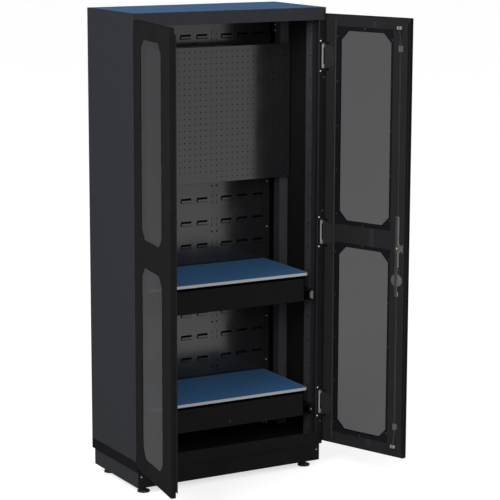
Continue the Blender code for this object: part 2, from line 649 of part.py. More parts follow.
def make_door(side, hand, angle, paints):
    """A glazed door: folded skin, raised inner liner, two panes and three hinge leaves."""
    axis = door_empty(side, hand, angle)
    skin = door_box((0, 0, DOOR_BOTTOM), (DOOR_WIDTH, DOOR_THICKNESS, DOOR_TOP))
    skin = part(f"{side}_door_skin", skin, paints["black"], axis, hand)
    inner_end = DOOR_WIDTH - DOOR_SHEET
    floor = DOOR_BOTTOM + DOOR_SHEET
    ceiling = DOOR_TOP - DOOR_SHEET
    pocket = door_box((DOOR_SHEET, DOOR_SHEET, floor), (inner_end, DOOR_THICKNESS + CUT, ceiling))
    combine(skin, "DIFFERENCE", pocket, axis, hand)
    relief = door_box((-CUT, HINGE_EDGE_FLANGE, floor), (CUT, DOOR_THICKNESS + CUT, ceiling))
    combine(skin, "DIFFERENCE", relief, axis, hand)
    ear_low = EAR_INNER - NOTCH_CLEARANCE
    ear_high = EAR_OUTER + NOTCH_CLEARANCE
    slots = bmesh.new()
    notches = bmesh.new()
    for height in HINGE_HEIGHTS.values():
        for end in (-1, 1):
            low, high = sorted((height + end * ear_low, height + end * ear_high))
            door_box((-CUT, DOOR_SHEET, low), (2 * DOOR_SHEET, DOOR_THICKNESS, high), slots)
            reach = PIVOT_U + EAR_BASE + NOTCH_CLEARANCE
            door_box((LINER_START - CUT, PIVOT_V, low), (reach, DOOR_THICKNESS + CUT, high), notches)
    combine(skin, "DIFFERENCE", slots, axis, hand)

    liner = make_liner(side, axis, hand, paints)
    combine(liner, "DIFFERENCE", notches, axis, hand)
    for level, (low, high) in WINDOWS.items():
        window = prism(window_outline(low, high), -PIVOT_V - CUT, DOOR_SHEET - PIVOT_V + CUT, "Y")
        combine(skin, "DIFFERENCE", window, axis, hand)
        margin = DOOR_SHEET / 2 + FIT
        start = DOOR_SHEET + FIT
        pane = door_box(
            (RECESS_START + margin, start, low - WINDOW_OVERLAP + margin),
            (RECESS_END - margin, start + PANE_THICKNESS, high + WINDOW_OVERLAP - margin),
        )
        part(f"{side}_door_{level}_pane", pane, paints["tint"], axis, hand)
    for name, height in HINGE_HEIGHTS.items():
        make_hinge(side, name, height, axis, hand, paints)
    return axis, skin, liner


def window_outline(low, high):
    """A window in a door's skin, with its corners cut off, about the hinge axis."""
    left = RECESS_START + WINDOW_OVERLAP - PIVOT_U
    right = RECESS_END - WINDOW_OVERLAP - PIVOT_U
    cut = WINDOW_CHAMFER
    return [
        (left + cut, low),
        (right - cut, low),
        (right, low + cut),
        (right, high - cut),
        (right - cut, high),
        (left + cut, high),
        (left, high - cut),
        (left, low + cut),
    ]


def make_liner(side, axis, hand, paints):
    """The raised inner face of a door: one sheet, folded down round its rim and round both recesses."""
    half = DOOR_SHEET / 2
    start = LINER_START + half
    end = DOOR_WIDTH - DOOR_SHEET - LINER_EDGE_GAP - half
    low = DOOR_BOTTOM + DOOR_SHEET + LINER_EDGE_GAP + half
    high = DOOR_TOP - DOOR_SHEET - LINER_EDGE_GAP - half
    middle = (start + end) / 2
    recesses = [(bottom - WINDOW_OVERLAP, top + WINDOW_OVERLAP) for bottom, top in WINDOWS.values()]
    bm = upright_sheet(
        end - start,
        low,
        high,
        DOOR_THICKNESS - half,
        (RECESS_START - middle, RECESS_END - middle),
        [edge for recess in recesses for edge in recess],
    )
    bmesh.ops.translate(bm, vec=(middle, 0, 0), verts=bm.verts)
    openings = []
    for face in bm.faces:
        centre = face.calc_center_median()
        across = RECESS_START < centre.x < RECESS_END
        if across and any(bottom < centre.z < top for bottom, top in recesses):
            openings.append(face)
    bmesh.ops.delete(bm, geom=openings, context="FACES")
    rims = [edge for edge in bm.edges if edge.is_boundary]
    fold_back(bm, rims, DOOR_SHEET + FIT - (DOOR_THICKNESS - half))
    bmesh.ops.translate(bm, vec=(-PIVOT_U, -PIVOT_V, 0), verts=bm.verts)
    liner = part(f"{side}_door_liner", bm, paints["black"], axis, hand)
    thicken(liner, DOOR_SHEET)
    return liner


def make_hinge(side, name, height, axis, hand, paints):
    """One hinge: a bracket with ears and a pin on the carcass, and a leaf with a knuckle on the door."""
    base = EAR_BASE_V - PIVOT_V
    outline = arc((0, 0), EAR_HALF_WIDTH, 0, -pi, 6)
    outline += [(-EAR_HALF_WIDTH, base), (EAR_BASE, base), (EAR_BASE, base - EAR_BASE_EDGE)]
    bracket = part(f"{side}_hinge_bracket_{name}", ear_shape(outline, -1), paints["zinc"], hand=hand)
    bracket.location = (-hand * PIVOT_X, PIVOT_Y, height)
    pivot = bpy.data.objects.new(f"{side}_hinge_{name}_place", None)
    CUTTERS.objects.link(pivot)
    pivot.location = bracket.location
    combine(bracket, "UNION", ear_shape(outline, 1), pivot, hand)
    for end in (-1, 1):
        low, high = sorted((end * EAR_INNER, end * (EAR_OUTER + BRACKET_FOOT_LENGTH)))
        foot = box((EAR_BASE / 3, base - BRACKET_FOOT_PLATE, low), (EAR_BASE, base, high))
        combine(bracket, "UNION", foot, pivot, hand)
    pin_length = 2 * EAR_INNER + EAR_THICKNESS
    combine(bracket, "UNION", cylinder((0, 0, 0), PIN_RADIUS, pin_length), pivot, hand)

    half = EAR_INNER - FIT
    plate_v = LEAF_V - PIVOT_V
    start = PIN_RADIUS + PIN_CLEARANCE
    outline = [(start, -half), (LEAF_REACH, -LEAF_TIP_HALF), (LEAF_REACH, LEAF_TIP_HALF), (start, half)]
    place = bpy.data.objects.new(f"{side}_leaf_{name}_place", None)
    CUTTERS.objects.link(place)
    place.parent = axis
    place.location.z = height
    leaf = prism(outline, plate_v, plate_v + LEAF_PLATE, "Y")
    leaf = part(f"{side}_hinge_leaf_{name}", leaf, paints["grey"], place, hand)
    web = box((start, 0, -half), (KNUCKLE_RADIUS, plate_v + LEAF_PLATE / 2, half))
    combine(leaf, "UNION", web, place, hand)
    combine(leaf, "UNION", cylinder((0, 0, 0), KNUCKLE_RADIUS, 2 * half), place, hand)
    combine(leaf, "DIFFERENCE", cylinder((0, 0, 0), PIN_RADIUS + PIN_CLEARANCE, 3 * half), place, hand)


def ear_shape(outline, end):
    """One ear of a hinge bracket, above or below the knuckle."""
    low, high = sorted((end * EAR_INNER, end * EAR_OUTER))
    return prism(outline, low, high)


def make_astragal(axis, paints):
    """The strip on the left door's free edge that laps behind the right door."""
    low = DOOR_BOTTOM + ASTRAGAL_END_GAP
    high = DOOR_TOP - ASTRAGAL_END_GAP
    start = DOOR_THICKNESS + FIT
    inner = DOOR_WIDTH - ASTRAGAL_LAP
    strip = door_box((inner, start, low), (DOOR_WIDTH + ASTRAGAL_REACH, start + DOOR_SHEET, high))
    part("left_door_astragal", strip, paints["black"], axis)


def make_lock(axis, skin, liner, paints):
    """T-handle, cam disc and two sliding rods on the right door, drawn back."""
    hand = -1
    middle = LOCK_U - PIVOT_U
    centre = bpy.data.objects.new("lock_axis", None)
    PARTS.objects.link(centre)
    centre.parent = axis
    centre.location = (-middle, -PIVOT_V, LOCK_HEIGHT)
    for holed in (skin, liner):
        hole = SPINDLE_RADIUS + SPINDLE_CLEARANCE
        through = cylinder((0, DOOR_THICKNESS / 2, 0), hole, 2 * DOOR_THICKNESS, "Y")
        combine(holed, "DIFFERENCE", through, centre, hand)

    rosette = cylinder((0, -FIT - ROSETTE_HEIGHT / 2, 0), ROSETTE_RADIUS, ROSETTE_HEIGHT, "Y", 2 * ROUND_SIDES)
    rosette = part("lock_rosette", rosette, paints["black"], centre, hand)
    bore = cylinder((0, 0, 0), SPINDLE_RADIUS + FIT, 4 * ROSETTE_HEIGHT, "Y")
    combine(rosette, "DIFFERENCE", bore, centre, hand)

    hub_start = -2 * FIT - ROSETTE_HEIGHT
    grip_start = hub_start - HUB_HEIGHT
    round_end = GRIP_WIDTH / 2
    reach = GRIP_LENGTH / 2 - round_end
    outline = arc((0, reach), round_end, 0, pi, 6) + arc((0, -reach), round_end, pi, 2 * pi, 6)
    grip = prism(outline, grip_start - GRIP_HEIGHT, grip_start, "Y")
    handle = part("lock_handle", grip, paints["black"], centre, hand)
    hub_length = HUB_HEIGHT + GRIP_HEIGHT / 2
    hub = cylinder((0, hub_start - hub_length / 2, 0), HUB_RADIUS, hub_length, "Y")
    combine(handle, "UNION", hub, centre, hand)
    spindle_end = CAM_V + CAM_PLATE
    spindle_length = spindle_end - hub_start + HUB_HEIGHT / 2
    spindle = cylinder((0, spindle_end - spindle_length / 2, 0), SPINDLE_RADIUS, spindle_length, "Y")
    combine(handle, "UNION", spindle, centre, hand)

    cam = cylinder((0, CAM_V + CAM_PLATE / 2, 0), CAM_RADIUS, CAM_PLATE, "Y", 2 * ROUND_SIDES)
    cam = part("lock_cam", cam, paints["zinc"], centre, hand)
    bore = cylinder((0, CAM_V, 0), SPINDLE_RADIUS + FIT, 4 * CAM_PLATE, "Y")
    combine(cam, "DIFFERENCE", bore, centre, hand)
    for turn in (-CRANK_START, pi - CRANK_START):
        place = (CRANK * cos(turn), CAM_V + CAM_PLATE / 2 + CRANK_PIN_LENGTH / 2, CRANK * sin(turn))
        pin = cylinder(place, CRANK_PIN_RADIUS, CRANK_PIN_LENGTH + CAM_PLATE / 2, "Y")
        combine(cam, "UNION", pin, centre, hand)

    make_rod("upper", 1, UPPER_TIP - LOCK_HEIGHT, centre, hand, paints)
    make_rod("lower", -1, LOCK_HEIGHT - LOWER_TIP, centre, hand, paints)
    for name, height in GUIDE_HEIGHTS.items():
        make_guide(name, height - LOCK_HEIGHT, centre, hand, paints)


def make_rod(name, way, length, centre, hand, paints):
    """A lock rod: slotted yoke over the cam, round bar, and a tip cranked inwards. way is 1 for up."""
    throw = CRANK * sin(CRANK_START)
    pin_line = -throw
    outline = [
        (YOKE_INNER, pin_line - YOKE_END),
        (YOKE_OUTER, pin_line - YOKE_END),
        (YOKE_OUTER, YOKE_LENGTH),
        (-ROD_RADIUS, YOKE_LENGTH),
        (-ROD_RADIUS, YOKE_NECK),
        (YOKE_INNER, YOKE_NECK),
    ]
    outline = [(way * x, way * z) for x, z in outline]
    yoke = prism(outline, YOKE_V, YOKE_V + YOKE_PLATE, "Y")
    rod = part(f"lock_rod_{name}", yoke, paints["zinc"], centre, hand)
    gap = CRANK_PIN_RADIUS + SLOT_CLEARANCE
    ends = sorted(way * x for x in (CRANK * cos(CRANK_START) - gap, CRANK + gap))
    heights = sorted(way * z for z in (pin_line - gap, pin_line + gap))
    slot = box((ends[0], YOKE_V - CUT, heights[0]), (ends[1], YOKE_V + CUT, heights[1]))
    combine(rod, "DIFFERENCE", slot, centre, hand)

    bend_end = length - ROD_TIP
    route = [
        (0, ROD_V, way * (YOKE_LENGTH - ROD_RADIUS)),
        (0, ROD_V, way * (bend_end - ROD_BEND)),
        (0, ROD_TIP_V, way * bend_end),
        (0, ROD_TIP_V, way * length),
    ]
    combine(rod, "UNION", bar(f"lock_rod_{name}_bar", route), centre, hand)


def bar(name, route):
    """A round bar along a route of straight stretches, as a closed mesh."""
    curve = bpy.data.curves.new(name, "CURVE")
    curve.dimensions = "3D"
    curve.bevel_depth = ROD_RADIUS
    curve.bevel_resolution = 2
    curve.use_fill_caps = True
    spline = curve.splines.new("POLY")
    spline.points.add(len(route) - 1)
    for point, place in zip(spline.points, route):
        point.co = (*place, 1)
    drawn = bpy.data.objects.new(name, curve)
    CUTTERS.objects.link(drawn)
    seen = drawn.evaluated_get(bpy.context.evaluated_depsgraph_get())
    mesh = bpy.data.meshes.new_from_object(seen)
    bm = bmesh.new()
    bm.from_mesh(mesh)
    bmesh.ops.remove_doubles(bm, verts=bm.verts, dist=0.00001)
    bmesh.ops.recalc_face_normals(bm, faces=bm.faces)
    bpy.data.objects.remove(drawn, do_unlink=True)
    bpy.data.curves.remove(curve)
    bpy.data.meshes.remove(mesh)
    return bm


def make_guide(name, height, centre, hand, paints):
    """A strap screwed to the door's liner that a lock rod slides under."""
    half = SHEET / 2
    foot_v = DOOR_THICKNESS + FIT + half
    loop_v = ROD_V + ROD_RADIUS + GUIDE_ROD_GAP + half
    path = [
        (-GUIDE_HALF_WIDTH, foot_v, 0),
        (-GUIDE_HALF_LOOP, foot_v, 0),
        (-GUIDE_HALF_LOOP, loop_v, 0),
        (GUIDE_HALF_LOOP, loop_v, 0),
        (GUIDE_HALF_LOOP, foot_v, 0),
        (GUIDE_HALF_WIDTH, foot_v, 0),
    ]
    strap = fold(path, (0, 0, height - GUIDE_LENGTH / 2), (0, 0, GUIDE_LENGTH))
    thicken(part(f"lock_guide_{name}", strap, paints["zinc"], centre, hand))


def main():
    """Builds the whole cabinet."""
    clear_scene()
    paints = {
        "black": paint("black_powder_coat", (0.012, 0.012, 0.013), 0.45),
        "grey": paint("graphite_powder_coat", (0.030, 0.031, 0.036), 0.55),
        "satin": paint("satin_black_coat", (0.030, 0.031, 0.034), 0.30),
        "blue": paint("blue_antistatic_laminate", (0.045, 0.150, 0.330), 0.50),
        "zinc": paint("bright_zinc_plate", (0.700, 0.710, 0.720), 0.30, 1.0),
        "tint": paint("tinted_glazing", (0.090, 0.090, 0.095), 0.05, 0.0, 0.5),
    }
    make_base(paints)
    make_carcass(paints)
    make_louvre_panels(paints)
    make_pegboard(paints)
    for level, top in SHELF_TOPS.items():
        make_shelf(level, top, paints)
    left_axis, _, _ = make_door("left", 1, LEFT_DOOR_OPEN, paints)
    make_astragal(left_axis, paints)
    right_axis, right_skin, right_liner = make_door("right", -1, RIGHT_DOOR_OPEN, paints)
    make_lock(right_axis, right_skin, right_liner, paints)


main()
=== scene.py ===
"""Looks of the anti-static storage cabinet: finishes, rounded folds and the small pieces.

Metres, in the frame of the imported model: +Z up, the front faces -Y, and the origin is on the floor.
"""
import json
from math import cos, pi, radians, sin

import bmesh
import bpy
from mathutils import Matrix, Vector


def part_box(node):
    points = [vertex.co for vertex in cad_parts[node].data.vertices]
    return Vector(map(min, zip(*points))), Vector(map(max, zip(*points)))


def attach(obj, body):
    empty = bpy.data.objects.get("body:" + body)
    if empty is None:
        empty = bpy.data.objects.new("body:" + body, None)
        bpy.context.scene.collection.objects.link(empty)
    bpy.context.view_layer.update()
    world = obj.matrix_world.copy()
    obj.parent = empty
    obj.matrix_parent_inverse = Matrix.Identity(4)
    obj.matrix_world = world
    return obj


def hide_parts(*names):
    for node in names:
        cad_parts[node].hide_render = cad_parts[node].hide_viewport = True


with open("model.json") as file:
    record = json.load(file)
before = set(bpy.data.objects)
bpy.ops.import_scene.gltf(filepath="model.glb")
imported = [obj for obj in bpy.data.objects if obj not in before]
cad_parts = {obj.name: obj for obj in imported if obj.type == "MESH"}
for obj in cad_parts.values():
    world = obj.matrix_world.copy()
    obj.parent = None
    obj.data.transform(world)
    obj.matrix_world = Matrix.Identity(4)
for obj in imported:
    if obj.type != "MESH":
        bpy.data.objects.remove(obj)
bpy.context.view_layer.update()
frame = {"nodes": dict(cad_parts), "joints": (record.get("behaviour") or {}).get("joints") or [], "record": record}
NODES = frame["nodes"]
JOINTS = {joint["name"]: joint for joint in frame["joints"]}
SLOTS = {row["node"]: row["material_slot"] for row in frame["record"]["subparts"]}
BODIES = {node: body for body, nodes in frame["record"]["behaviour"]["bodies"].items() for node in nodes}
SIDES = ("left", "right")
LEVELS = ("upper", "lower")
HAND = {"left": -1, "right": 1}
FORWARDS = (0, -1, 0)

# Camera, fitted to the corners of the carcass in the photo
IMAGE_SIZE = 500  # pixels
FOCAL_LENGTH = 1994.1  # pixels
SENSOR_WIDTH = 36.0  # millimetres
CAMERA_PLACE = (-3.8771, -7.1868, 2.4766)
CAMERA_YAW = 0.5165  # radians to the right of +Y
CAMERA_PITCH = -0.1855
CAMERA_ROLL = 0.0031
CLIP_END = 500.0  # beyond the floor's far edge

# Studio
WHITE = (1.0, 1.0, 1.0, 1.0)
FLOOR_SIZE = 160.0
FLOOR_COLOUR = (0.7, 0.7, 0.7, 1.0)
FLOOR_GLOW = 0.67  # added where the camera or a reflection sees the floor
AMBIENT = 0.45  # strength of the sky for diffuse light
LAMPS = (  # name, place, diameter and power
    ("key", (-6.0, -3.4, 4.6), 4.5, 400.0),
    ("front", (-2.5, -7.5, 4.2), 4.5, 250.0),
)
AIM = (0.0, -0.1, 0.9)
UNMIRRORED = ("right_door", "lock_handle", "upper_rod", "lower_rod")  # not mirrored in the photo's back wall

# Sheet metal, and the radii of broken edges
SHEET = 0.0012
THROUGH = 3 * SHEET  # depth of what punches a sheet
MERGE = 0.00002  # vertices closer than this are one
FOLD_RADIUS = 0.0016  # outer radius of a folded edge
PLATE_RADIUS = 0.0006  # broken edge of a thick plate
THIN_RADIUS = 0.0003  # broken edge of a shelf board or a thin plate
FOLD_SHARE = 0.3  # largest rounding, as a share of a face's breadth
SHARP_ANGLE = radians(30)
ROUND_ANGLE = radians(40)  # facets of a turned part meet at less than this
FLAT_ANGLE = radians(0.5)  # faces that meet at less than this are one
FACING = 0.9  # least cosine between a face's normal and the way it looks

# Turned heads, such as screws: sizes are radius and height, and outlines are shares of the two
SINK = 0.0004  # how far a head reaches into the surface it stands on
SCREW_HEAD = ((1, 0.45), (0.82, 0.85), (0.55, 1), (0.4, 1), (0.36, 0.35), (0, 0.35))
WASHER_HEAD = ((0.9, 1), (0, 1))
BUMPER_HEAD = ((1, 0.6), (0.7, 1), (0, 1))
RIVET_HEAD = ((1, 0.3), (0.7, 0.8), (0, 1))

# Pegboard and louvred wall
PEG_PITCH = 0.025
PEG_HOLE = 0.0051
PEG_MARGIN = 0.02  # least distance from a hole's centre to the edge
PEG_SIDES = 12
WALL_EDGE = 0.012  # edge of a wall panel to its column of slots
WALL_SLOT = (0.0022, 0.018)  # width and length
WALL_SLOT_PITCH = 0.0265  # the two slots beside each row of louvres
WALL_SLOT_DROP = 0.006  # a row's line to the middle of its two slots
WALL_COLUMNS = 3
WALL_COLUMN_PITCH = 0.0775
WALL_ROWS = 17
WALL_FIRST_ROW = 0.1095  # top of a panel to its first row's line
WALL_ROW_PITCH = 0.0988
LOUVRE = (0.05, 0.0155)  # width of the opening, and its height below the row's line
LOUVRE_GAP = 0.0045  # height of the opening above the row's line
LOUVRE_REACH = 0.008  # how far the solid's louvres stand out
LOUVRE_LIP = (  # a lip's outline from its foot: reach out of the face, and rise
    (0.0, 0.0), (0.004, 0.0002), (0.0056, 0.0008), (0.0063, 0.002), (0.0065, 0.004), (0.0065, 0.012),
)
WALL_SCREW = (0.0036, 0.0026)
WALL_WASHER = (0.0055, 0.0007)
WALL_HOLE = 0.008
WALL_HOLE_SIDES = 12
WALL_HOLE_RISE = 0.051  # line of the first row, and of every second one, to the hole above it

# Uprights
UPRIGHT_SLOT = (0.005, 0.012)  # width and length
UPRIGHT_SLOT_PITCH = 0.1
UPRIGHT_SLOT_SETBACK = 0.015  # front of an upright to the middle of its slots
UPRIGHT_FIRST_SLOT = 0.028  # lower end of an upright to its first slot

# Shelves
EDGE_STRIP = 0.002
EDGE_HEIGHT = 0.0118  # pale part of the strip, above a black strip of painted shadow
BOARD_CORNER = 0.012
CORNER_STEPS = 6
STRIP_RADIUS = 0.0008
SHADOW_STRIP = 0.0005  # painted shadow: a black strip along the top of a carrier's front, under the board
SHADOW_STRIP_HEIGHT = 0.008  # how far it reaches down over the carrier
SHADOW_STRIP_RISE = 0.0035  # and up towards the board

# Runners
STOP_GAP = 0.0007  # inner runner to the stop in the outer runner's end
STOP_INSET = 0.005  # upper and lower side of the outer runner to the stop
STOP_PLATE = 0.0014  # how far the stop stands out in front
STOP_LENGTH = 0.008
STOP_CORNER = 0.8  # radius of its two corners, as a share of its width
STOP_RADIUS = 0.0007
STOP_SCREW = (0.0032, 0.002)  # in the black stops of the lower runners

# Doors
RETAINER = 0.0006  # thin plate on the liner, round a pane's recess
RETAINER_OUTSIDE = ((0.001, -0.004), (0.01, 0.008))  # lower and upper corner of the plate from the pane's
RETAINER_INSIDE = ((0.0225, 0.0125), (0.0, -0.009))  # the same for its window
RETAINER_CHAMFER = 0.038
RETAINER_SCREW = (0.0024, 0.0014)
RETAINER_SCREWS = 5  # on each long side
RETAINER_SCREW_INSET = 0.0055  # edge of the plate to its screws
RETAINER_SCREW_END = 0.042  # end of the plate to the first screw of its long sides
SEAL = (0.003, 0.011)  # free edge of the right door to the two sides of its flat seal
SEAL_HEIGHT = 0.0002
RIDGE = (0.066, 0.0687)  # hinge edge of a door to the two sides of its ridge
RIDGE_HEIGHT = 0.0005
STRIP_END = 0.02  # end of the seal and of the ridge from the end of the door
STRAP = (0.251, 0.273)  # hinge edge of a door to the two sides of its straps
STRAP_HEIGHT = 0.0005

# Hinges and carcass front
KNUCKLE_RADIUS = 0.0055  # a leaf's knuckle lies within this distance of its pivot
BAR = (0.0114, 0.0182)  # inner side of a bracket to the two sides of its bar
BAR_TAB = 0.0065  # how far the bar's ends reach out towards the pin
BAR_END = 0.027  # end of a bracket to the end of its bar
BAR_PLATE = 0.001
BAR_RADIUS = 0.0004
PAD = 0.0005  # rubber pad under the bar
PAD_END = 0.016  # end of a bracket to the end of its pad
FOOT_SCREW = (0.003, 0.0012)
FOOT_SCREW_PLACE = (0.0045, 0.0165)  # inner side and end of a bracket to the screw in its foot
FOOT_PLATE = 0.002  # thickness of a bracket's foot
BUMPER_INSET = 0.0048  # outer side of a bracket to the bumper beyond it
BUMPER = (0.0045, 0.0028)
BUMPER_SINK = 0.0005
BUMPER_GAP = 0.01  # end of a bracket to the bumper beyond it

# Seams and back
SEAM_SEAL = (0.0005, 0.006)  # thickness of the seal behind the cap's edge, and its reach each way
BACK_SCREW = (0.0032, 0.0014)
BACK_SCREW_INSET = 0.009  # outer side of a side panel to the screws in its rear flange
BACK_SCREW_END = 0.04  # end of a side panel to the first screw
BACK_SCREW_ROWS = 8

# Screws on the base, the rear uprights and the lower shelf
PLINTH_SCREW = (0.0032, 0.0022)
PLINTH_SCREW_PLACE = (0.015, 0.047)  # end and lower edge of the plinth to its screw
TRAY_SCREW = (0.0035, 0.002)
TRAY_SCREW_PLACES = ((0.3525, 0.143), (0.3655, 0.137))  # beside and behind the middle of the tray
TRAY_FLOOR = 0.0192  # underside of the tray to its floor
UPRIGHT_SCREW = (0.0038, 0.002)
UPRIGHT_SCREW_INSET = 0.006  # rear edge of a rear upright to the screws in its inner face
UPRIGHT_SCREW_DROPS = (0.085, 0.11)  # top of a rear upright to its screws
STUD = (0.0035, 0.0022)
STUD_RISE = 0.021  # lower edge of the lower carrier to its stud

# Lock
SLEEVE_WIDTH = 0.014  # flat sleeve on each lock rod, next to the lock
SLEEVE_DEPTH = 0.008
SLEEVE_RADIUS = 0.001
SLEEVE_ENDS = {"upper": (0.052, 0.262), "lower": (0.048, 0.066)}  # lock axis to the two ends of each sleeve
TONGUE = 0.0016  # strip of the lower sleeve that runs up over the cam
COVER_PLATE = 0.0016  # disc in front of the yokes, on the cam's pins
COVER_EDGE = 0.00096  # its broken edge
COVER_SIDES = 48
ROD_RADIUS = 0.0035
ROLLER_RADIUS = 0.0072
ROLLER_WIDTH = 0.0085
ROLLER_SIDES = 20
ROLLER_EDGE = (0.3, 0.2)  # its broken edges, as shares of its radius and width
ROLLER_SPREAD = 0.006  # rod to the middle of each roller
GUIDE_SHARE = 0.68  # width of a guide against the solid's
RIVET = (0.0042, 0.002)
RIVET_SINK = 0.001
CHEEK = 0.0015  # side walls of the middle guide
CHEEK_GAP = 0.0004
CHEEK_SETBACK = 0.001  # front of the sleeve to the front of the walls
LATCH_PLATE = 0.002
LATCH_HEIGHT = 0.036
LATCH_END = 0.0175  # free edge of the door to the latch plate
LATCH_NOTCH = 0.006
LATCH_STEPS = 8
LATCH_RADIUS = 0.0005


def principled(name):
    """A new material, its node tree and its shader."""
    material = bpy.data.materials.new(name)
    material.use_nodes = True
    return material, material.node_tree, material.node_tree.nodes["Principled BSDF"]


def set_inputs(node, inputs):
    """Sets a shader node's inputs, each to a value or to another node's output."""
    for name, value in inputs.items():
        if isinstance(value, bpy.types.NodeSocket):
            node.id_data.links.new(value, node.inputs[name])
        else:
            node.inputs[name].default_value = value


def add_node(tree, kind, inputs):
    """A new shader node with its inputs set."""
    node = tree.nodes.new(f"ShaderNode{kind}")
    set_inputs(node, inputs)
    return node


def calculate(tree, operation, *inputs):
    """The result of a calculation with values and other nodes' outputs."""
    node = tree.nodes.new("ShaderNodeMath")
    node.operation = operation
    set_inputs(node, dict(enumerate(inputs)))
    return node.outputs[0]


def noise(tree, size, detail=2.0, stretch=(1.0, 1.0, 1.0)):
    """Noise with features about size metres across, stretched along the axes."""
    place = add_node(tree, "TexCoord", {}).outputs["Object"]
    steps = [1.0 / (size * way) for way in stretch]
    scaled = add_node(tree, "Mapping", {"Vector": place, "Scale": steps}).outputs["Vector"]
    texture = add_node(tree, "TexNoise", {"Vector": scaled, "Scale": 1.0, "Detail": detail})
    return texture.outputs["Fac"]


def cells(tree, size):
    """A pattern of irregular cells about size metres across."""
    place = add_node(tree, "TexCoord", {}).outputs["Object"]
    return add_node(tree, "TexVoronoi", {"Vector": place, "Scale": 1.0 / size}).outputs["Color"]


def tinted(pattern, colour, low, high, start=0.35, end=0.65):
    """A colour that goes from low to high times its value as a pattern rises."""
    ramp = add_node(pattern.id_data, "ValToRGB", {"Fac": pattern})
    for index, (position, share) in enumerate(((start, low), (end, high))):
        ramp.color_ramp.elements[index].position = position
        ramp.color_ramp.elements[index].color = (*(channel * share for channel in colour), 1.0)
    return ramp.outputs["Color"]


def spread(pattern, low, high):
    """A value that goes from low to high as a pattern rises."""
    limits = {"From Min": 0.3, "From Max": 0.7, "To Min": low, "To Max": high}
    return add_node(pattern.id_data, "MapRange", {"Value": pattern, **limits}).outputs["Result"]


def bumps(pattern, strength, distance):
    """The normals of a surface that is raised a little where a pattern is high."""
    inputs = {"Strength": strength, "Distance": distance, "Height": pattern}
    return add_node(pattern.id_data, "Bump", inputs).outputs["Normal"]


def coat(name, colour, roughness=0.55, specular=0.0, grain=0.0012, depth=0.00004, mottle=0.06):
    """Powder coat: a fine orange-peel grain, and a slightly uneven colour and gloss."""
    material, tree, shader = principled(name)
    patches = noise(tree, mottle, 4.0)
    set_inputs(shader, {
        "Base Color": tinted(patches, colour, 0.95, 1.05),
        "Roughness": spread(patches, roughness - 0.04, roughness + 0.05),
        "Specular IOR Level": specular,
        "Normal": bumps(noise(tree, grain, 1.0), 0.6, depth),
    })
    return material


def laminate(name, colour, roughness, specular):
    """Matt laminate with a fine fleck and a faint pebble grain."""
    material, tree, shader = principled(name)
    fleck = noise(tree, 0.0016, 3.0)
    set_inputs(shader, {
        "Base Color": tinted(fleck, colour, 0.86, 1.14),
        "Roughness": spread(noise(tree, 0.05, 3.0), roughness - 0.05, roughness + 0.05),
        "Specular IOR Level": specular,
        "Normal": bumps(fleck, 0.5, 0.00005),
    })
    return material


def plated(name, colour, roughness):
    """Plated steel: metal with a faint spangle and fine drawing lines along the part."""
    material, tree, shader = principled(name)
    lines = noise(tree, 0.0006, 2.0, (1.0, 1.0, 12.0))
    set_inputs(shader, {
        "Base Color": tinted(cells(tree, 0.006), colour, 0.85, 1.1, 0.1, 0.9),
        "Metallic": 1.0,
        "Roughness": spread(lines, roughness - 0.06, roughness + 0.08),
        "Normal": bumps(lines, 0.3, 0.00002),
    })
    return material


def glazing(name, colour, alpha, specular):
    """Smoke-tinted plastic pane: hazy, with slow waves in its surface."""
    material, tree, shader = principled(name)
    haze = noise(tree, 0.12, 2.0)
    set_inputs(shader, {
        "Base Color": tinted(haze, colour, 0.92, 1.08),
        "Roughness": spread(haze, 0.08, 0.12),
        "Alpha": alpha,
        "Specular IOR Level": specular,
        "Normal": bumps(haze, 0.1, 0.0003),
    })
    return material


FINISHES = {
    "black_coat": coat("black_powder_coat", (0.0148, 0.0148, 0.0156)),
    "graphite_coat": coat("graphite_powder_coat", (0.027, 0.028, 0.033), 0.6, 0.008, 0.0022, 0.0001, 0.03),
    "satin_black_coat": coat("satin_black_coat", (0.0155, 0.0155, 0.017), 0.17, 0.59, 0.0015, 0.00002, 0.1),
    # Partly painted light: the board's blue is lighter than the mat's, standing in for light inside the cabinet.
    "blue_laminate": laminate("blue_laminate", (0.058, 0.165, 0.345), 0.55, 0.05),
    "blue_mat": laminate("blue_mat", (0.034, 0.096, 0.215), 0.65, 0.02),
    "zinc_plate": plated("zinc_plate", (0.46, 0.46, 0.47), 0.34),
    "tinted_glazing": glazing("smoke_glazing", (0.0033, 0.0037, 0.0066), 0.7, 0.033),
    "black_plastic": coat("moulded_black_plastic", (0.013, 0.013, 0.014), 0.5, 0.15, 0.002, 0.00005),
}
# The carriers' and runners' own dark enamel, also used as painted shade on the side panels' front faces.
DARK_ENAMEL_AND_SHADE = coat("dark_enamel_and_painted_shade", (0.0066, 0.0066, 0.0072), 0.45, 0.03)
# Partly the retainer plates' own slate coat, partly painted shade: darkened to stand in for the shaded wall of
# each pane's recess.
SLATE_COAT_AND_SHADE = coat("slate_coat_and_painted_shade", (0.0072, 0.007, 0.0096), 0.55, 0.02, 0.0016, 0.00006)
# Painted light and shade: black coat lightened as painted light on the doors' liners, and used as painted shade on
# the front faces of the front uprights.
LINER_LIGHT_AND_SHADE_COAT = coat("liner_coat_painted_light_and_shade", (0.0174, 0.0174, 0.0184))
# Painted light: graphite lightened so that the uprights look lit inside the cabinet.
UPRIGHT_PAINTED_LIGHT_COAT = coat("upright_coat_painted_light", (0.047, 0.047, 0.054))
# The base tray's own black coat, also used as painted shade on the plinth's front.
BASE_COAT_AND_SHADE = coat("base_coat_and_painted_shade", (0.0112, 0.0112, 0.0118))
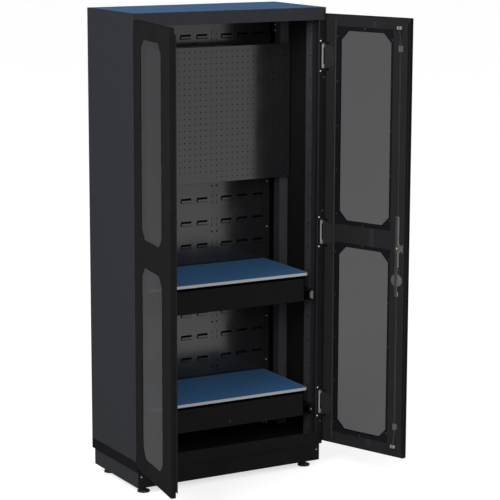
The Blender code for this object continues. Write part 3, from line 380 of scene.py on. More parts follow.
# Painted shade on the fold at each door's free edge.
FREE_EDGE_SHADE_COAT = coat("free_edge_painted_shade", (0.01, 0.01, 0.0106))
LEAF_COAT = coat("leaf_powder_coat", (0.0235, 0.0235, 0.025))
# Painted highlight: a light grey on the door's ridge stands in for light catching the rim of a pane's recess.
RIDGE_HIGHLIGHT_COAT = coat("ridge_painted_highlight", (0.046, 0.046, 0.049), 0.45, 0.02)
PALE_EDGE = laminate("pale_edge_band", (0.37, 0.37, 0.39), 0.45, 0.2)
DULL_STEEL = plated("dull_steel", (0.07, 0.07, 0.073), 0.4)
MATT_ZINC = coat("matt_zinc", (0.32, 0.32, 0.33), 0.45, 0.2, 0.001, 0.00003, 0.02)
LOCK_GREY = coat("matt_lock_zinc", (0.08, 0.08, 0.083), 0.45, 0.15, 0.001, 0.00003, 0.02)
DARK_STEEL = coat("phosphated_steel", (0.016, 0.016, 0.017), 0.45, 0.1, 0.0008, 0.00003, 0.02)
SLEEVE_ZINC = plated("dull_zinc_strip", (0.125, 0.125, 0.129), 0.42)
BRASS = plated("brass", (0.42, 0.3, 0.12), 0.3)
GREY_NYLON = coat("grey_nylon", (0.2, 0.2, 0.21), 0.5, 0.2, 0.002, 0.00003, 0.02)
DULL_NYLON = coat("dull_nylon", (0.125, 0.125, 0.13), 0.55, 0.15, 0.002, 0.00003, 0.02)
# Black rubber, also used as painted shade on the rear sheet's inner face and on the hinge leaves' knuckles.
RUBBER_AND_SHADE = coat("black_rubber_and_painted_shade", (0.0045, 0.0045, 0.0048), 0.75, 0.05, 0.001, 0.00006, 0.02)
# Painted shadow: near-black strips that stand in for the shadow line under a shelf's pale edge.
SHADOW_BLACK = coat("painted_shadow_black", (0.0012, 0.0012, 0.0013), 0.85, 0.0, 0.001, 0.00006, 0.02)
# Grey rubber of the bumpers, also lightened as painted light for the levelling feet under the cabinet.
GREY_RUBBER_AND_LIGHT = coat("grey_rubber_and_painted_light", (0.045, 0.045, 0.048), 0.75, 0.05, 0.001, 0.00006, 0.02)
PALE_SCREW = plated("bright_screw", (0.66, 0.66, 0.67), 0.3)


def mesh_of(name, bm):
    """A mesh with what a bmesh holds. The bmesh is used up."""
    mesh = bpy.data.meshes.new(name)
    bm.to_mesh(mesh)
    bm.free()
    return mesh


def placed(name, data):
    """A new object in the scene."""
    made = bpy.data.objects.new(name, data)
    bpy.context.scene.collection.objects.link(made)
    return made


def flanks(side, low, high):
    """The inner and outer X of a box on one side of the cabinet."""
    return (low.x, high.x) if side == "right" else (high.x, low.x)


def evenly(first, last, count):
    """Values spaced evenly from the first to the last."""
    return [first + (last - first) * index / (count - 1) for index in range(count)]


def solid(node):
    """A CAD node's mesh with its flat faces whole again."""
    bm = bmesh.new()
    bm.from_mesh(NODES[node].data)
    bmesh.ops.remove_doubles(bm, verts=bm.verts, dist=MERGE)
    bmesh.ops.dissolve_limit(bm, angle_limit=FLAT_ANGLE, verts=bm.verts, edges=bm.edges)
    return bm


def piece(name, bm, material, body, replaces=(), rounded=False):
    """A piece made of a bmesh given in the frame at rest, riding on a body."""
    for face in bm.faces:
        face.smooth = rounded
    mesh = mesh_of(name, bm)
    if rounded:
        mesh.set_sharp_from_angle(angle=ROUND_ANGLE)
    mesh.materials.append(material)
    made = placed(name, mesh)
    made.visible_glossy = body not in UNMIRRORED
    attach(made, body)
    if replaces:
        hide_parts(*replaces)
    return made


def breadth(face):
    """How wide a long face is."""
    return 2 * face.calc_area() / face.calc_perimeter()


def mark_folds(bm, radius):
    """Sets how far each outer edge is rounded, as a share of radius."""
    weight = bm.edges.layers.float.new("bevel_weight_edge")
    for edge in bm.edges:
        if len(edge.link_faces) == 2 and edge.is_convex and edge.calc_face_angle(0.0) > SHARP_ANGLE:
            narrow = min(breadth(face) for face in edge.link_faces)
            edge[weight] = min(1.0, FOLD_SHARE * narrow / radius)


def round_folds(made, radius):
    """Rounds the marked edges, as those of folded sheet are."""
    bevel = made.modifiers.new("Folds", "BEVEL")
    bevel.limit_method = "WEIGHT"
    bevel.width = radius
    bevel.segments = 2


def folded(name, bm, material, body, replaces=(), radius=FOLD_RADIUS):
    """A piece of folded sheet or plate, with its outer edges rounded."""
    mark_folds(bm, radius)
    made = piece(name, bm, material, body, replaces)
    round_folds(made, radius)
    return made


def box_in(space, node):
    """A node's lowest and highest corners in a space given by its matrix."""
    back = space.inverted()
    points = [back @ vertex.co for vertex in NODES[node].data.vertices]
    return [Vector(map(pick, zip(*points))) for pick in (min, max)]


def prism(outline, depth, bm=None):
    """A flat outline thickened by a vector, in a new bmesh or added to one."""
    bm = bm or bmesh.new()
    near = [bm.verts.new(point) for point in outline]
    far = [bm.verts.new(Vector(point) + Vector(depth)) for point in outline]
    bm.faces.new(near)
    bm.faces.new(list(reversed(far)))
    for index, corner in enumerate(near):
        following = (index + 1) % len(near)
        bm.faces.new([near[following], corner, far[index], far[following]])
    return bm


def outward(bm):
    """Turns the faces of closed bodies outwards, and those of a sheet the same way."""
    bmesh.ops.recalc_face_normals(bm, faces=bm.faces)
    return bm


def shift_grown(bm, grown, by):
    """Moves the vertices that an extrusion has added."""
    added = [item for item in grown["geom"] if isinstance(item, bmesh.types.BMVert)]
    bmesh.ops.translate(bm, vec=by, verts=added)


def block(low, high, bm=None):
    """A block between two corners."""
    (left, front, bottom), (right, back, top) = low, high
    outline = [(left, front, bottom), (right, front, bottom), (right, back, bottom), (left, back, bottom)]
    return prism(outline, (0, 0, top - bottom), bm)


def turned(profile, sides, place, along, bm=None):
    """A turned part: a profile of radius and height, at a place and along a direction."""
    bm = bm or bmesh.new()
    frame_of = Matrix.Translation(place) @ Vector(along).to_track_quat("Z", "X").to_matrix().to_4x4()
    turns = [2 * pi * step / sides for step in range(sides)]
    rings = []
    for radius, height in profile:
        spokes = turns if radius else [0.0]
        points = [Vector((radius * cos(turn), radius * sin(turn), height)) for turn in spokes]
        rings.append([bm.verts.new(frame_of @ point) for point in points])
    for lower, upper in zip(rings, rings[1:]):
        for step in range(sides):
            after = (step + 1) % sides
            corners = [lower[step % len(lower)], lower[after % len(lower)],
                       upper[after % len(upper)], upper[step % len(upper)]]
            bm.faces.new(list(dict.fromkeys(corners)))
    return bm


def heads(name, places, along, size, material, body="cabinet",
          outline=SCREW_HEAD, sides=12, sink=SINK):
    """Screws or other turned heads on a surface, as one piece."""
    radius, height = size
    profile = [(0, -sink), (radius, -sink), *((radius * across, height * up) for across, up in outline)]
    bm = bmesh.new()
    for place in places:
        turned(profile, sides, place, along, bm)
    return piece(name, outward(bm), material, body, rounded=True)


def slot_outline(width, length, steps=4):
    """A slot with round ends, as points along its length and width."""
    half = (length - width) / 2
    points = []
    for end in (1, -1):
        for step in range(steps + 1):
            turn = -pi / 2 + pi * step / steps
            points.append((end * (half + width / 2 * cos(turn)), end * width / 2 * sin(turn)))
    return points


def carve(bm, cutters):
    """A bmesh with the cutters' bodies taken out of it."""
    made = [placed("carving", mesh_of("carving", shape)) for shape in (bm, outward(cutters))]
    cut = made[0].modifiers.new("Cut", "BOOLEAN")
    cut.operation = "DIFFERENCE"
    cut.solver = "EXACT"
    cut.object = made[1]
    shown = made[0].evaluated_get(bpy.context.evaluated_depsgraph_get())
    result = bmesh.new()
    result.from_mesh(shown.to_mesh())
    shown.to_mesh_clear()
    for thing in made:
        mesh = thing.data
        bpy.data.objects.remove(thing)
        bpy.data.meshes.remove(mesh)
    bmesh.ops.dissolve_limit(result, angle_limit=FLAT_ANGLE, verts=result.verts, edges=result.edges)
    return result


def make_camera():
    """The photo's camera."""
    data = bpy.data.cameras.new("photo_camera")
    data.sensor_width = SENSOR_WIDTH
    data.lens = FOCAL_LENGTH * SENSOR_WIDTH / IMAGE_SIZE
    data.clip_end = CLIP_END
    camera = placed("photo_camera", data)
    turn = Matrix.Rotation(-CAMERA_YAW, 4, "Z") @ Matrix.Rotation(pi / 2 + CAMERA_PITCH, 4, "X")
    camera.matrix_world = Matrix.Translation(CAMERA_PLACE) @ turn @ Matrix.Rotation(CAMERA_ROLL, 4, "Z")
    bpy.context.scene.camera = camera


def seen_directly(tree):
    """1 for light seen by the camera, in a reflection or through a pane, and 0 for other light."""
    path = add_node(tree, "LightPath", {}).outputs
    total = path["Is Camera Ray"]
    for name in ("Is Glossy Ray", "Is Transmission Ray"):
        total = calculate(tree, "MAXIMUM", total, path[name])
    return total


def make_sky():
    """A white surround, at full strength only where it is seen."""
    world = bpy.data.worlds.new("studio")
    world.use_nodes = True
    bpy.context.scene.world = world
    tree = world.node_tree
    level = calculate(tree, "MULTIPLY_ADD", seen_directly(tree), 1.0 - AMBIENT, AMBIENT)
    set_inputs(tree.nodes["Background"], {"Color": WHITE, "Strength": level})


def make_floor():
    """A pale floor that keeps the shadow."""
    material, tree, shader = principled("studio_floor")
    set_inputs(shader, {
        "Base Color": FLOOR_COLOUR,
        "Roughness": 0.9,
        "Specular IOR Level": 0.0,
        "Emission Color": WHITE,
        "Emission Strength": calculate(tree, "MULTIPLY", seen_directly(tree), FLOOR_GLOW),
    })
    bm = bmesh.new()
    bmesh.ops.create_grid(bm, x_segments=1, y_segments=1, size=FLOOR_SIZE / 2)
    floor = placed("floor", mesh_of("floor", bm))
    floor.data.materials.append(material)


def make_studio():
    """The surround, the floor and large soft lamps."""
    bpy.context.scene.view_settings.view_transform = "Standard"
    make_sky()
    make_floor()
    for name, place, size, power in LAMPS:
        data = bpy.data.lights.new(name, "AREA")
        data.shape = "DISK"
        data.size = size
        data.energy = power
        lamp = placed(name, data)
        lamp.location = place
        lamp.rotation_euler = (Vector(AIM) - Vector(place)).to_track_quat("-Z", "Y").to_euler()


def perforated(columns, rows, y, hole, sides):
    """An upright sheet at y with a round hole in every inner cell of a grid of X and Z lines."""
    bm = bmesh.new()
    radius = hole / 2
    corners = [[bm.verts.new((x, y, z)) for z in rows] for x in columns]
    for i in range(len(columns) - 1):
        for j in range(len(rows) - 1):
            square = [corners[i][j], corners[i + 1][j], corners[i + 1][j + 1], corners[i][j + 1]]
            inner = 0 < i < len(columns) - 2 and 0 < j < len(rows) - 2
            if not inner:
                bm.faces.new(square)
                continue
            middle = sum((corner.co for corner in square), Vector()) / 4
            turns = [pi * 5 / 4 + 2 * pi * step / sides for step in range(sides)]
            points = [(middle.x + radius * cos(turn), y, middle.z + radius * sin(turn)) for turn in turns]
            ring = [bm.verts.new(point) for point in points]
            quarter = sides // 4
            for side in range(4):
                near = [ring[(side * quarter + step) % sides] for step in range(quarter + 1)]
                bm.faces.new([square[side], square[(side + 1) % 4], *reversed(near)])
    return outward(bm)


def grid_lines(low, high):
    """The edges of a centred row of peg cells, with the two ends of the sheet."""
    count = int((high - low - 2 * PEG_MARGIN) / PEG_PITCH) + 1
    first = (low + high) / 2 - count * PEG_PITCH / 2
    return [low, *(first + PEG_PITCH * index for index in range(count + 1)), high]


def make_pegboard():
    """The pegboard with every hole of its grid, folded back along its four edges."""
    low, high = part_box("pegboard")

    def at_the_rim(edge):
        return any(all(abs(corner.co[axis] - end[axis]) < MERGE for corner in edge.verts)
                   for axis in (0, 2) for end in (low, high))

    columns = grid_lines(low.x, high.x)
    rows = grid_lines(low.z, high.z)
    bm = perforated(columns, rows, low.y, PEG_HOLE, PEG_SIDES)
    if bm.faces[:][0].normal.y > 0:
        bmesh.ops.reverse_faces(bm, faces=bm.faces)
    border = [edge for edge in bm.edges if edge.is_boundary and at_the_rim(edge)]
    shift_grown(bm, bmesh.ops.extrude_edge_only(bm, edges=border), (0, high.y - low.y, 0))
    weight = bm.edges.layers.float.new("bevel_weight_edge")
    for edge in bm.edges:
        if len(edge.link_faces) == 2 and edge.calc_face_angle(0.0) > SHARP_ANGLE:
            edge[weight] = 1.0
    slot = "satin_black_coat"
    made = piece("pegboard_full", bm, FINISHES[slot], "cabinet", ("pegboard",))
    round_folds(made, FOLD_RADIUS)
    thick = made.modifiers.new("Sheet", "SOLIDIFY")
    thick.thickness = SHEET
    thick.offset = -1
    thick.use_even_offset = True


def lip(x, face, level, bm):
    """A louvre's lip: joined to the sheet below its opening, then bent out and up along the sheet."""
    outer = [Vector((0, face - reach, level + rise)) for reach, rise in LOUVRE_LIP]
    ways = [after - before for before, after in zip(outer, outer[1:])]
    ways = [ways[0], *((before + after) / 2 for before, after in zip(ways, ways[1:])), ways[-1]]
    inner = [point + SHEET * Vector((0, way.z, -way.y)).normalized() for point, way in zip(outer, ways)]
    start = Vector((x - LOUVRE[0] / 2 + SHEET / 2, 0, 0))
    prism([start + point for point in [*outer, *reversed(inner)]], (LOUVRE[0] - SHEET, 0, 0), bm)


def wall_sheet(low, high, face):
    """A wall panel before it is punched: a sheet with its two long edges folded back."""
    outline = [
        (low.x, high.y), (low.x, face), (high.x, face), (high.x, high.y), (high.x - SHEET, high.y),
        (high.x - SHEET, face + SHEET), (low.x + SHEET, face + SHEET), (low.x + SHEET, high.y),
    ]
    return outward(prism([(x, y, low.z) for x, y in outline], (0, 0, high.z - low.z)))


def make_wall_panel(node):
    """A wall panel with its louvres, slots and holes. Returns the holes' places."""
    low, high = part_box(node)
    face = low.y + LOUVRE_REACH
    start, through = face - SHEET, (0, THROUGH, 0)
    edges = (low.x + WALL_EDGE, high.x - WALL_EDGE)
    levels = [high.z - WALL_FIRST_ROW - row * WALL_ROW_PITCH for row in range(WALL_ROWS)]
    middle = (low.x + high.x) / 2
    half = (WALL_COLUMNS - 1) / 2
    columns = [middle + (column - half) * WALL_COLUMN_PITCH for column in range(WALL_COLUMNS)]
    slot_points = slot_outline(*WALL_SLOT)
    cutters, lips = bmesh.new(), bmesh.new()
    for level in levels:
        bottom, top = level - LOUVRE[1], level + LOUVRE_GAP
        for x in columns:
            left, right = x - LOUVRE[0] / 2, x + LOUVRE[0] / 2
            corners = ((left, bottom), (right, bottom), (right, top), (left, top))
            prism([(u, start, z) for u, z in corners], through, cutters)
            lip(x, face, bottom, lips)
        for x in edges:
            for side in (-0.5, 0.5):
                centre = level - WALL_SLOT_DROP + side * WALL_SLOT_PITCH
                points = [(x + across, start, centre + along) for along, across in slot_points]
                prism(points, through, cutters)
    rows = (levels[0], *levels[1::2])
    holes = [Vector((x, face, level + WALL_HOLE_RISE)) for level in rows for x in edges]
    bore = ((0, 0), (WALL_HOLE / 2, 0), (WALL_HOLE / 2, THROUGH), (0, THROUGH))
    for hole in holes:
        turned(bore, WALL_HOLE_SIDES, hole - Vector((0, SHEET, 0)), (0, 1, 0), cutters)
    finish, slot = FINISHES[SLOTS[node]], SLOTS[node]
    piece(f"{node}_sheet", carve(wall_sheet(low, high, face), cutters), finish, "cabinet", (node,))
    piece(f"{node}_lips", outward(lips), finish, "cabinet", rounded=True)
    return holes


def make_wall():
    """The louvred panels, and the screws at their outer edges, in all holes but the uppermost."""
    for side in SIDES:
        holes = make_wall_panel(f"louvre_panel_{side}")
        outermost = max(abs(hole.x) for hole in holes)
        uppermost = max(hole.z for hole in holes)
        outer = [hole for hole in holes if abs(hole.x) > outermost - MERGE and hole.z < uppermost - MERGE]
        heads(f"{side}_wall_washers", outer, FORWARDS, WALL_WASHER, RUBBER_AND_SHADE,
              outline=WASHER_HEAD, sides=16)
        heads(f"{side}_wall_screws", outer, FORWARDS, WALL_SCREW, MATT_ZINC)
    make_wall_panel("louvre_panel_middle")


def make_uprights():
    """The uprights with the slots along their inner faces, in a coat lightened as painted light. The front ones
    carry painted shade on their front faces.
    """
    outline = slot_outline(*UPRIGHT_SLOT)
    for side in SIDES:
        for place in ("front", "rear"):
            node = f"{side}_{place}_upright"
            low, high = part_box(node)
            inner, _ = flanks(side, low, high)
            start, y = inner - HAND[side] * SHEET, low.y + UPRIGHT_SLOT_SETBACK
            cutters = bmesh.new()
            count = int((high.z - low.z - 2 * UPRIGHT_FIRST_SLOT) / UPRIGHT_SLOT_PITCH) + 1
            for index in range(count):
                z = low.z + UPRIGHT_FIRST_SLOT + index * UPRIGHT_SLOT_PITCH
                points = [(start, y + along, z + across) for along, across in outline]
                prism(points, (HAND[side] * THROUGH, 0, 0), cutters)
            bm = carve(solid(node), cutters)
            # The uprights' light coat is painted light.
            made = folded(f"{node}_dressed", bm, UPRIGHT_PAINTED_LIGHT_COAT, "cabinet", (node,))
            if place == "front":
                # Painted shade on the front faces of the front uprights.
                recoat(made, LINER_LIGHT_AND_SHADE_COAT, looks_forwards)


def rounded_front(low, high, inset):
    """A board's outline seen from above, with its two front corners rounded."""
    left, right = low.x + inset, high.x - inset
    radius = BOARD_CORNER - inset
    middle = low.y + inset + radius
    points = [(left, high.y)]
    for centre, start in ((left + radius, pi), (right - radius, pi * 3 / 2)):
        for step in range(CORNER_STEPS + 1):
            turn = start + pi / 2 * step / CORNER_STEPS
            points.append((centre + radius * cos(turn), middle + radius * sin(turn)))
    points.append((right, high.y))
    return points


def make_shelf(level):
    """A blue board with a pale strip round its front and sides, a black strip of painted shadow under that one,
    and another along the top of the carrier's front.
    """
    node = f"{level}_shelf_board"
    body, slot = BODIES[node], "blue_laminate"
    low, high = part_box(node)
    outer = rounded_front(low, high, 0)
    inner = rounded_front(low, high, EDGE_STRIP)
    board = outward(prism([(x, y, low.z) for x, y in inner], (0, 0, high.z - low.z)))
    folded(f"{node}_core", board, FINISHES[slot], body, (node,), THIN_RADIUS)
    seam = high.z - EDGE_HEIGHT
    # The lower, black strip is painted shadow.
    strips = (("edge", seam, high.z, PALE_EDGE), ("under_edge", low.z, seam, SHADOW_BLACK))
    for name, bottom, top, finish in strips:
        outline = [(x, y, bottom) for x, y in [*outer, *reversed(inner)]]
        strip = outward(prism(outline, (0, 0, top - bottom)))
        folded(f"{node}_{name}", strip, finish, body, radius=STRIP_RADIUS)
    # A black strip of painted shadow along the top of the carrier's front.
    low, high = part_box(f"{level}_shelf_carrier")
    bottom, top = high.z - SHADOW_STRIP_HEIGHT, high.z + SHADOW_STRIP_RISE
    shadow_strip = block((low.x, low.y - SHADOW_STRIP, bottom), (high.x, low.y + SHEET, top))
    folded(f"{level}_shelf_shadow_strip", outward(shadow_strip), SHADOW_BLACK, body, radius=SHADOW_STRIP)


def door_space(side):
    """Where a door stands: u from its hinge edge, v from its outer face inwards, and height."""
    joint = JOINTS[f"{side}_door_hinge"]
    shut = radians(joint["range_deg"][0]) * joint["axis"][2]
    turn = Matrix.Translation(joint["pos_m"]) @ Matrix.Rotation(-shut, 4, "Z")
    mirrored = turn @ Matrix.Diagonal((-HAND[side], 1, 1, 1))
    low, _ = box_in(mirrored, f"{side}_door_skin")
    return mirrored @ Matrix.Translation((low.x, low.y, 0))


def moved(corners, ways):
    """The two corners of a box in the door's space, each moved along the door and upwards."""
    return [Vector((corner.x + u, corner.y, corner.z + z)) for corner, (u, z) in zip(corners, ways)]


def retainer(low, high, v):
    """The plate round a pane at depth v in the door's space, with cut corners inside."""
    outside = moved((low, high), RETAINER_OUTSIDE)
    inside = moved((low, high), RETAINER_INSIDE)
    bm = bmesh.new()
    inner, outer, corners = [], [], []
    for side, end in ((0, 0), (1, 0), (1, 1), (0, 1)):
        x, z = outside[side].x, outside[end].z
        near_x, near_z = inside[side].x, inside[end].z
        far_x = near_x + (1 - 2 * side) * RETAINER_CHAMFER
        far_z = near_z + (1 - 2 * end) * RETAINER_CHAMFER
        upright = bm.verts.new((near_x, v, far_z)), bm.verts.new((x, v, far_z))
        level = bm.verts.new((far_x, v, near_z)), bm.verts.new((far_x, v, z))
        pair = [upright, level] if side == end else [level, upright]
        inner.append([corner[0] for corner in pair])
        outer.append([corner[1] for corner in pair])
        corners.append(bm.verts.new((x, v, z)))
    for index in range(4):
        following = (index + 1) % 4
        bm.faces.new([inner[index][0], outer[index][0], corners[index], outer[index][1], inner[index][1]])
        bm.faces.new([inner[index][1], outer[index][1], outer[following][0], inner[following][0]])
    shift_grown(bm, bmesh.ops.extrude_face_region(bm, geom=bm.faces[:]), (0, RETAINER, 0))
    return bm


def retainer_screws(low, high, v):
    """Where the screws of a retainer stand, in the door's space."""
    low, high = moved((low, high), RETAINER_OUTSIDE)
    heights = evenly(low.z + RETAINER_SCREW_END, high.z - RETAINER_SCREW_END, RETAINER_SCREWS)
    inset = RETAINER_SCREW_INSET
    places = [(u, v, z) for z in heights for u in (low.x + inset, high.x - inset)]
    places += [((low.x + high.x) / 2, v, z) for z in (low.z + inset, high.z - inset)]
    return [Vector(place) for place in places]


def make_door(side):
    """What a door's inner face carries: the panes' retainers with screws, straps, a ridge and a seal."""
    space = door_space(side)
    inwards = space.col[1].xyz
    body = f"{side}_door"
    _, liner = box_in(space, f"{side}_door_liner")
    screw_places, plate_ends = [], []
    for level in LEVELS:
        pane = f"{side}_door_{level}_pane"
        low, high = box_in(space, pane)
        bm = retainer(low, high, liner.y)
        bm.transform(space)
        # The retainer's dark slate is partly painted shade of the recess wall.
        folded(f"{pane}_retainer", outward(bm), SLATE_COAT_AND_SHADE, body, radius=THIN_RADIUS)
        screw_places += [space @ place for place in retainer_screws(low, high, liner.y + RETAINER)]
        plate_ends += [low.z + RETAINER_OUTSIDE[0][1], high.z + RETAINER_OUTSIDE[1][1]]
    heads(f"{body}_pane_screws", screw_places, inwards, RETAINER_SCREW, DULL_STEEL, body)

    low, high = box_in(space, f"{side}_door_skin")
    ends = sorted([low.z + STRIP_END, high.z - STRIP_END, *plate_ends])
    # The ridge's light grey is a painted highlight.
    strips = [("ridge", *RIDGE, ends[0], ends[-1], RIDGE_HEIGHT, RIDGE_HIGHLIGHT_COAT)]
    rails = zip(("lower", "middle", "upper"), ends[::2], ends[1::2])
    strips += [(f"{name}_strap", *STRAP, start, end, STRAP_HEIGHT, LEAF_COAT) for name, start, end in rails]
    if side == "right":
        strips.append(("seal", high.x - SEAL[1], high.x - SEAL[0], ends[0], ends[-1], SEAL_HEIGHT, RUBBER_AND_SHADE))
    for name, left, right, bottom, top, height, finish in strips:
        bm = block((left, liner.y, bottom), (right, liner.y + height, top))
        bm.transform(space)
        folded(f"{body}_{name}", outward(bm), finish, body, radius=height)


def make_rod(level, space, axis):
    """A lock rod's sleeve next to the lock, and the rollers at its tip. Returns the sleeve's front."""
    way = 1 if level == "upper" else -1
    node = f"lock_rod_{level}"
    body = BODIES[node]
    low, high = box_in(space, node)
    tip = high.z if way > 0 else low.z
    across = space.col[0].xyz
    radius, half = ROLLER_RADIUS, ROLLER_WIDTH / 2
    hub, flat = (1 - ROLLER_EDGE[0]) * radius, half - ROLLER_EDGE[1] * ROLLER_WIDTH
    profile = ((0, -half), (hub, -half), (radius, -flat), (radius, flat), (hub, half), (0, half))
    rollers = bmesh.new()
    for hand in (-1, 1):
        place = Vector((axis.x + hand * ROLLER_SPREAD, high.y - ROD_RADIUS, tip - way * radius))
        turned(profile, ROLLER_SIDES, space @ place, across, rollers)
    piece(f"{level}_rod_rollers", outward(rollers), GREY_NYLON, body, rounded=True)

    front = low.y + SLEEVE_DEPTH
    left, right = axis.x - SLEEVE_WIDTH / 2, axis.x + SLEEVE_WIDTH / 2
    bottom, top = sorted(axis.z + way * end for end in SLEEVE_ENDS[level])
    sleeve = block((left, low.y, bottom), (right, front, top))
    if level == "lower":
        tongue_top = axis.z + SLEEVE_ENDS["upper"][0] - TONGUE
        block((left, front, bottom), (right, front + TONGUE, tongue_top), sleeve)
    sleeve.transform(space)
    folded(f"{level}_rod_sleeve", outward(sleeve), SLEEVE_ZINC, body, radius=SLEEVE_RADIUS)
    return front


def make_guide(name, space):
    """A guide strap, narrower than the solid's."""
    node = f"lock_guide_{name}"
    low, high = box_in(space, node)
    middle = Matrix.Translation((low + high) / 2)
    narrow = Matrix.Diagonal((GUIDE_SHARE, 1, 1, 1))
    bm = solid(node)
    bm.transform(space @ middle @ narrow @ middle.inverted() @ space.inverted())
    folded(f"{node}_strap", bm, LOCK_GREY, BODIES[node], (node,), PLATE_RADIUS)


def latch_outline(start, end):
    """The latch plate about its middle line, with a round notch in its lower and upper edges."""
    half, middle = LATCH_HEIGHT / 2, (start + end) / 2
    turns = [pi * step / LATCH_STEPS for step in range(LATCH_STEPS + 1)]
    notch = [(middle - LATCH_NOTCH * cos(turn), LATCH_NOTCH * sin(turn) - half) for turn in turns]
    outline = [(start, -half), *notch, (end, -half)]
    return outline + [(u, -z) for u, z in reversed(outline)]


def make_lock():
    """The rods' sleeves and rollers, the guides, the cam's cover, a rivet and the latch."""
    space = door_space("right")
    inwards = space.col[1].xyz
    low, high = box_in(space, "lock_cam")
    axis = (low + high) / 2
    make_rod("lower", space, axis)
    front = make_rod("upper", space, axis)
    for name in LEVELS:
        make_guide(name, space)
    radius, edge = (high.x - low.x) / 2, COVER_EDGE
    profile = ((0, 0), (radius, 0), (radius, edge), (radius - edge, COVER_PLATE), (0, COVER_PLATE))
    cover = turned(profile, COVER_SIDES, space @ Vector((axis.x, high.y, axis.z)), inwards)
    piece("lock_cam_cover", outward(cover), LOCK_GREY, BODIES["lock_cam"], rounded=True)

    low, high = box_in(space, "lock_guide_middle")
    middle = (low + high) / 2
    place = space @ Vector((middle.x, front, middle.z))
    heads("upper_rod_rivet", [place], inwards, RIVET, BRASS, BODIES["lock_rod_upper"],
          outline=RIVET_HEAD, sides=16, sink=RIVET_SINK)

    inner = SLEEVE_WIDTH / 2 + CHEEK_GAP
    guide = bmesh.new()
    for hand in (-1, 1):
        walls = sorted((middle.x + hand * inner, middle.x + hand * (inner + CHEEK)))
        block((walls[0], low.y, low.z), (walls[1], front - CHEEK_SETBACK, high.z), guide)
    _, door = box_in(space, "right_door_skin")
    plate = latch_outline(middle.x + inner + CHEEK, door.x - LATCH_END)
    prism([(u, low.y, middle.z + z) for u, z in plate], (0, LATCH_PLATE, 0), guide)
    guide.transform(space)
    folded("lock_latch", outward(guide), LOCK_GREY, "right_door", ("lock_guide_middle",),
           LATCH_RADIUS)


def hinge_pad(low, high, inner, hand):
    """The rubber pad under the bar of a hinge bracket."""
    sides = sorted(inner + hand * side for side in (BAR[0], BAR[1] + BAR_TAB))
    ends = low.z + PAD_END, high.z - PAD_END
    return outward(block((sides[0], high.y - PAD, ends[0]), (sides[1], high.y, ends[1])))


def hinge_bar(low, high, inner, hand):
    """The bright bar on a hinge bracket: a flat plate with a tab towards the pin at each end."""
    left, right = (inner + hand * side for side in BAR)
    tab = right + hand * BAR_TAB
    bottom, top = low.z + BAR_END, high.z - BAR_END
    reach = 2 * BAR_TAB
    outline = [(left, bottom), (tab, bottom), (tab, bottom + reach), (right, bottom + reach + BAR_TAB)]
    outline += [(x, bottom + top - z) for x, z in reversed(outline)]
    return outward(prism([(x, high.y - PAD, z) for x, z in outline], (0, -BAR_PLATE, 0)))


def make_hinges():
    """Bars and foot screws of the hinge brackets, and bumpers on the carcass front beside them."""
    feet, bumpers = [], []
    for side in SIDES:
        hand = HAND[side]
        for place in ("top", "middle", "bottom"):
            node = f"{side}_hinge_bracket_{place}"
            low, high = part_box(node)
            inner, outer = flanks(side, low, high)
            bar = hinge_bar(low, high, inner, hand)
            folded(f"{node}_bar", bar, MATT_ZINC, "cabinet", radius=BAR_RADIUS)
            piece(f"{node}_pad", hinge_pad(low, high, inner, hand), RUBBER_AND_SHADE, "cabinet")
            x, plate = inner + hand * FOOT_SCREW_PLACE[0], high.y - FOOT_PLATE
            feet += [(x, plate, low.z + FOOT_SCREW_PLACE[1]), (x, plate, high.z - FOOT_SCREW_PLACE[1])]
            level = high.z + BUMPER_GAP if place == "middle" else low.z - BUMPER_GAP
            bumpers.append((outer - hand * BUMPER_INSET, high.y, level))
    heads("hinge_foot_screws", feet, FORWARDS, FOOT_SCREW, PALE_SCREW)
    heads("door_bumpers", bumpers, FORWARDS, BUMPER, GREY_RUBBER_AND_LIGHT,
          outline=BUMPER_HEAD, sides=16, sink=BUMPER_SINK)


def make_base_screws():
    """Screws on the plinth, the tray's floor and the rear uprights, and a stud on the lower shelf."""
    hands = (-1, 1)
    low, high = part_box("plinth")
    inset, rise = PLINTH_SCREW_PLACE
    plinth = [(hand * (high.x - inset), low.y, low.z + rise) for hand in hands]
    heads("plinth_screws", plinth, FORWARDS, PLINTH_SCREW, MATT_ZINC)
    low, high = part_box("base_tray")
    tray = [(hand * x, y, low.z + TRAY_FLOOR) for hand in hands for x, y in TRAY_SCREW_PLACES]
    heads("tray_screws", tray, (0, 0, 1), TRAY_SCREW, PALE_SCREW)
    low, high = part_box("right_rear_upright")
    for side in SIDES:
        inner, y = HAND[side] * low.x, high.y - UPRIGHT_SCREW_INSET
        top = [(inner, y, high.z - drop) for drop in UPRIGHT_SCREW_DROPS]
        heads(f"{side}_upright_screws", top, (-HAND[side], 0, 0), UPRIGHT_SCREW, PALE_SCREW)
    low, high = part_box("lower_shelf_carrier")
    stud = [((low.x + high.x) / 2, low.y, low.z + STUD_RISE)]
    heads("lower_shelf_stud", stud, FORWARDS, STUD, DULL_STEEL, "lower_shelf")


def stop_outline(start, outer, bottom, top):
    """A runner's end stop seen from the front, with its two corners rounded on the inner side."""
    across = STOP_CORNER * (outer - start)
    turns = [pi / 2 * step / CORNER_STEPS for step in range(CORNER_STEPS + 1)]
    corner = [(start + across * (1 - sin(turn)), bottom + abs(across) * (1 - cos(turn))) for turn in turns]
    outline = [(outer, bottom), *corner]
    return outline + [(x, bottom + top - z) for x, z in reversed(outline)]


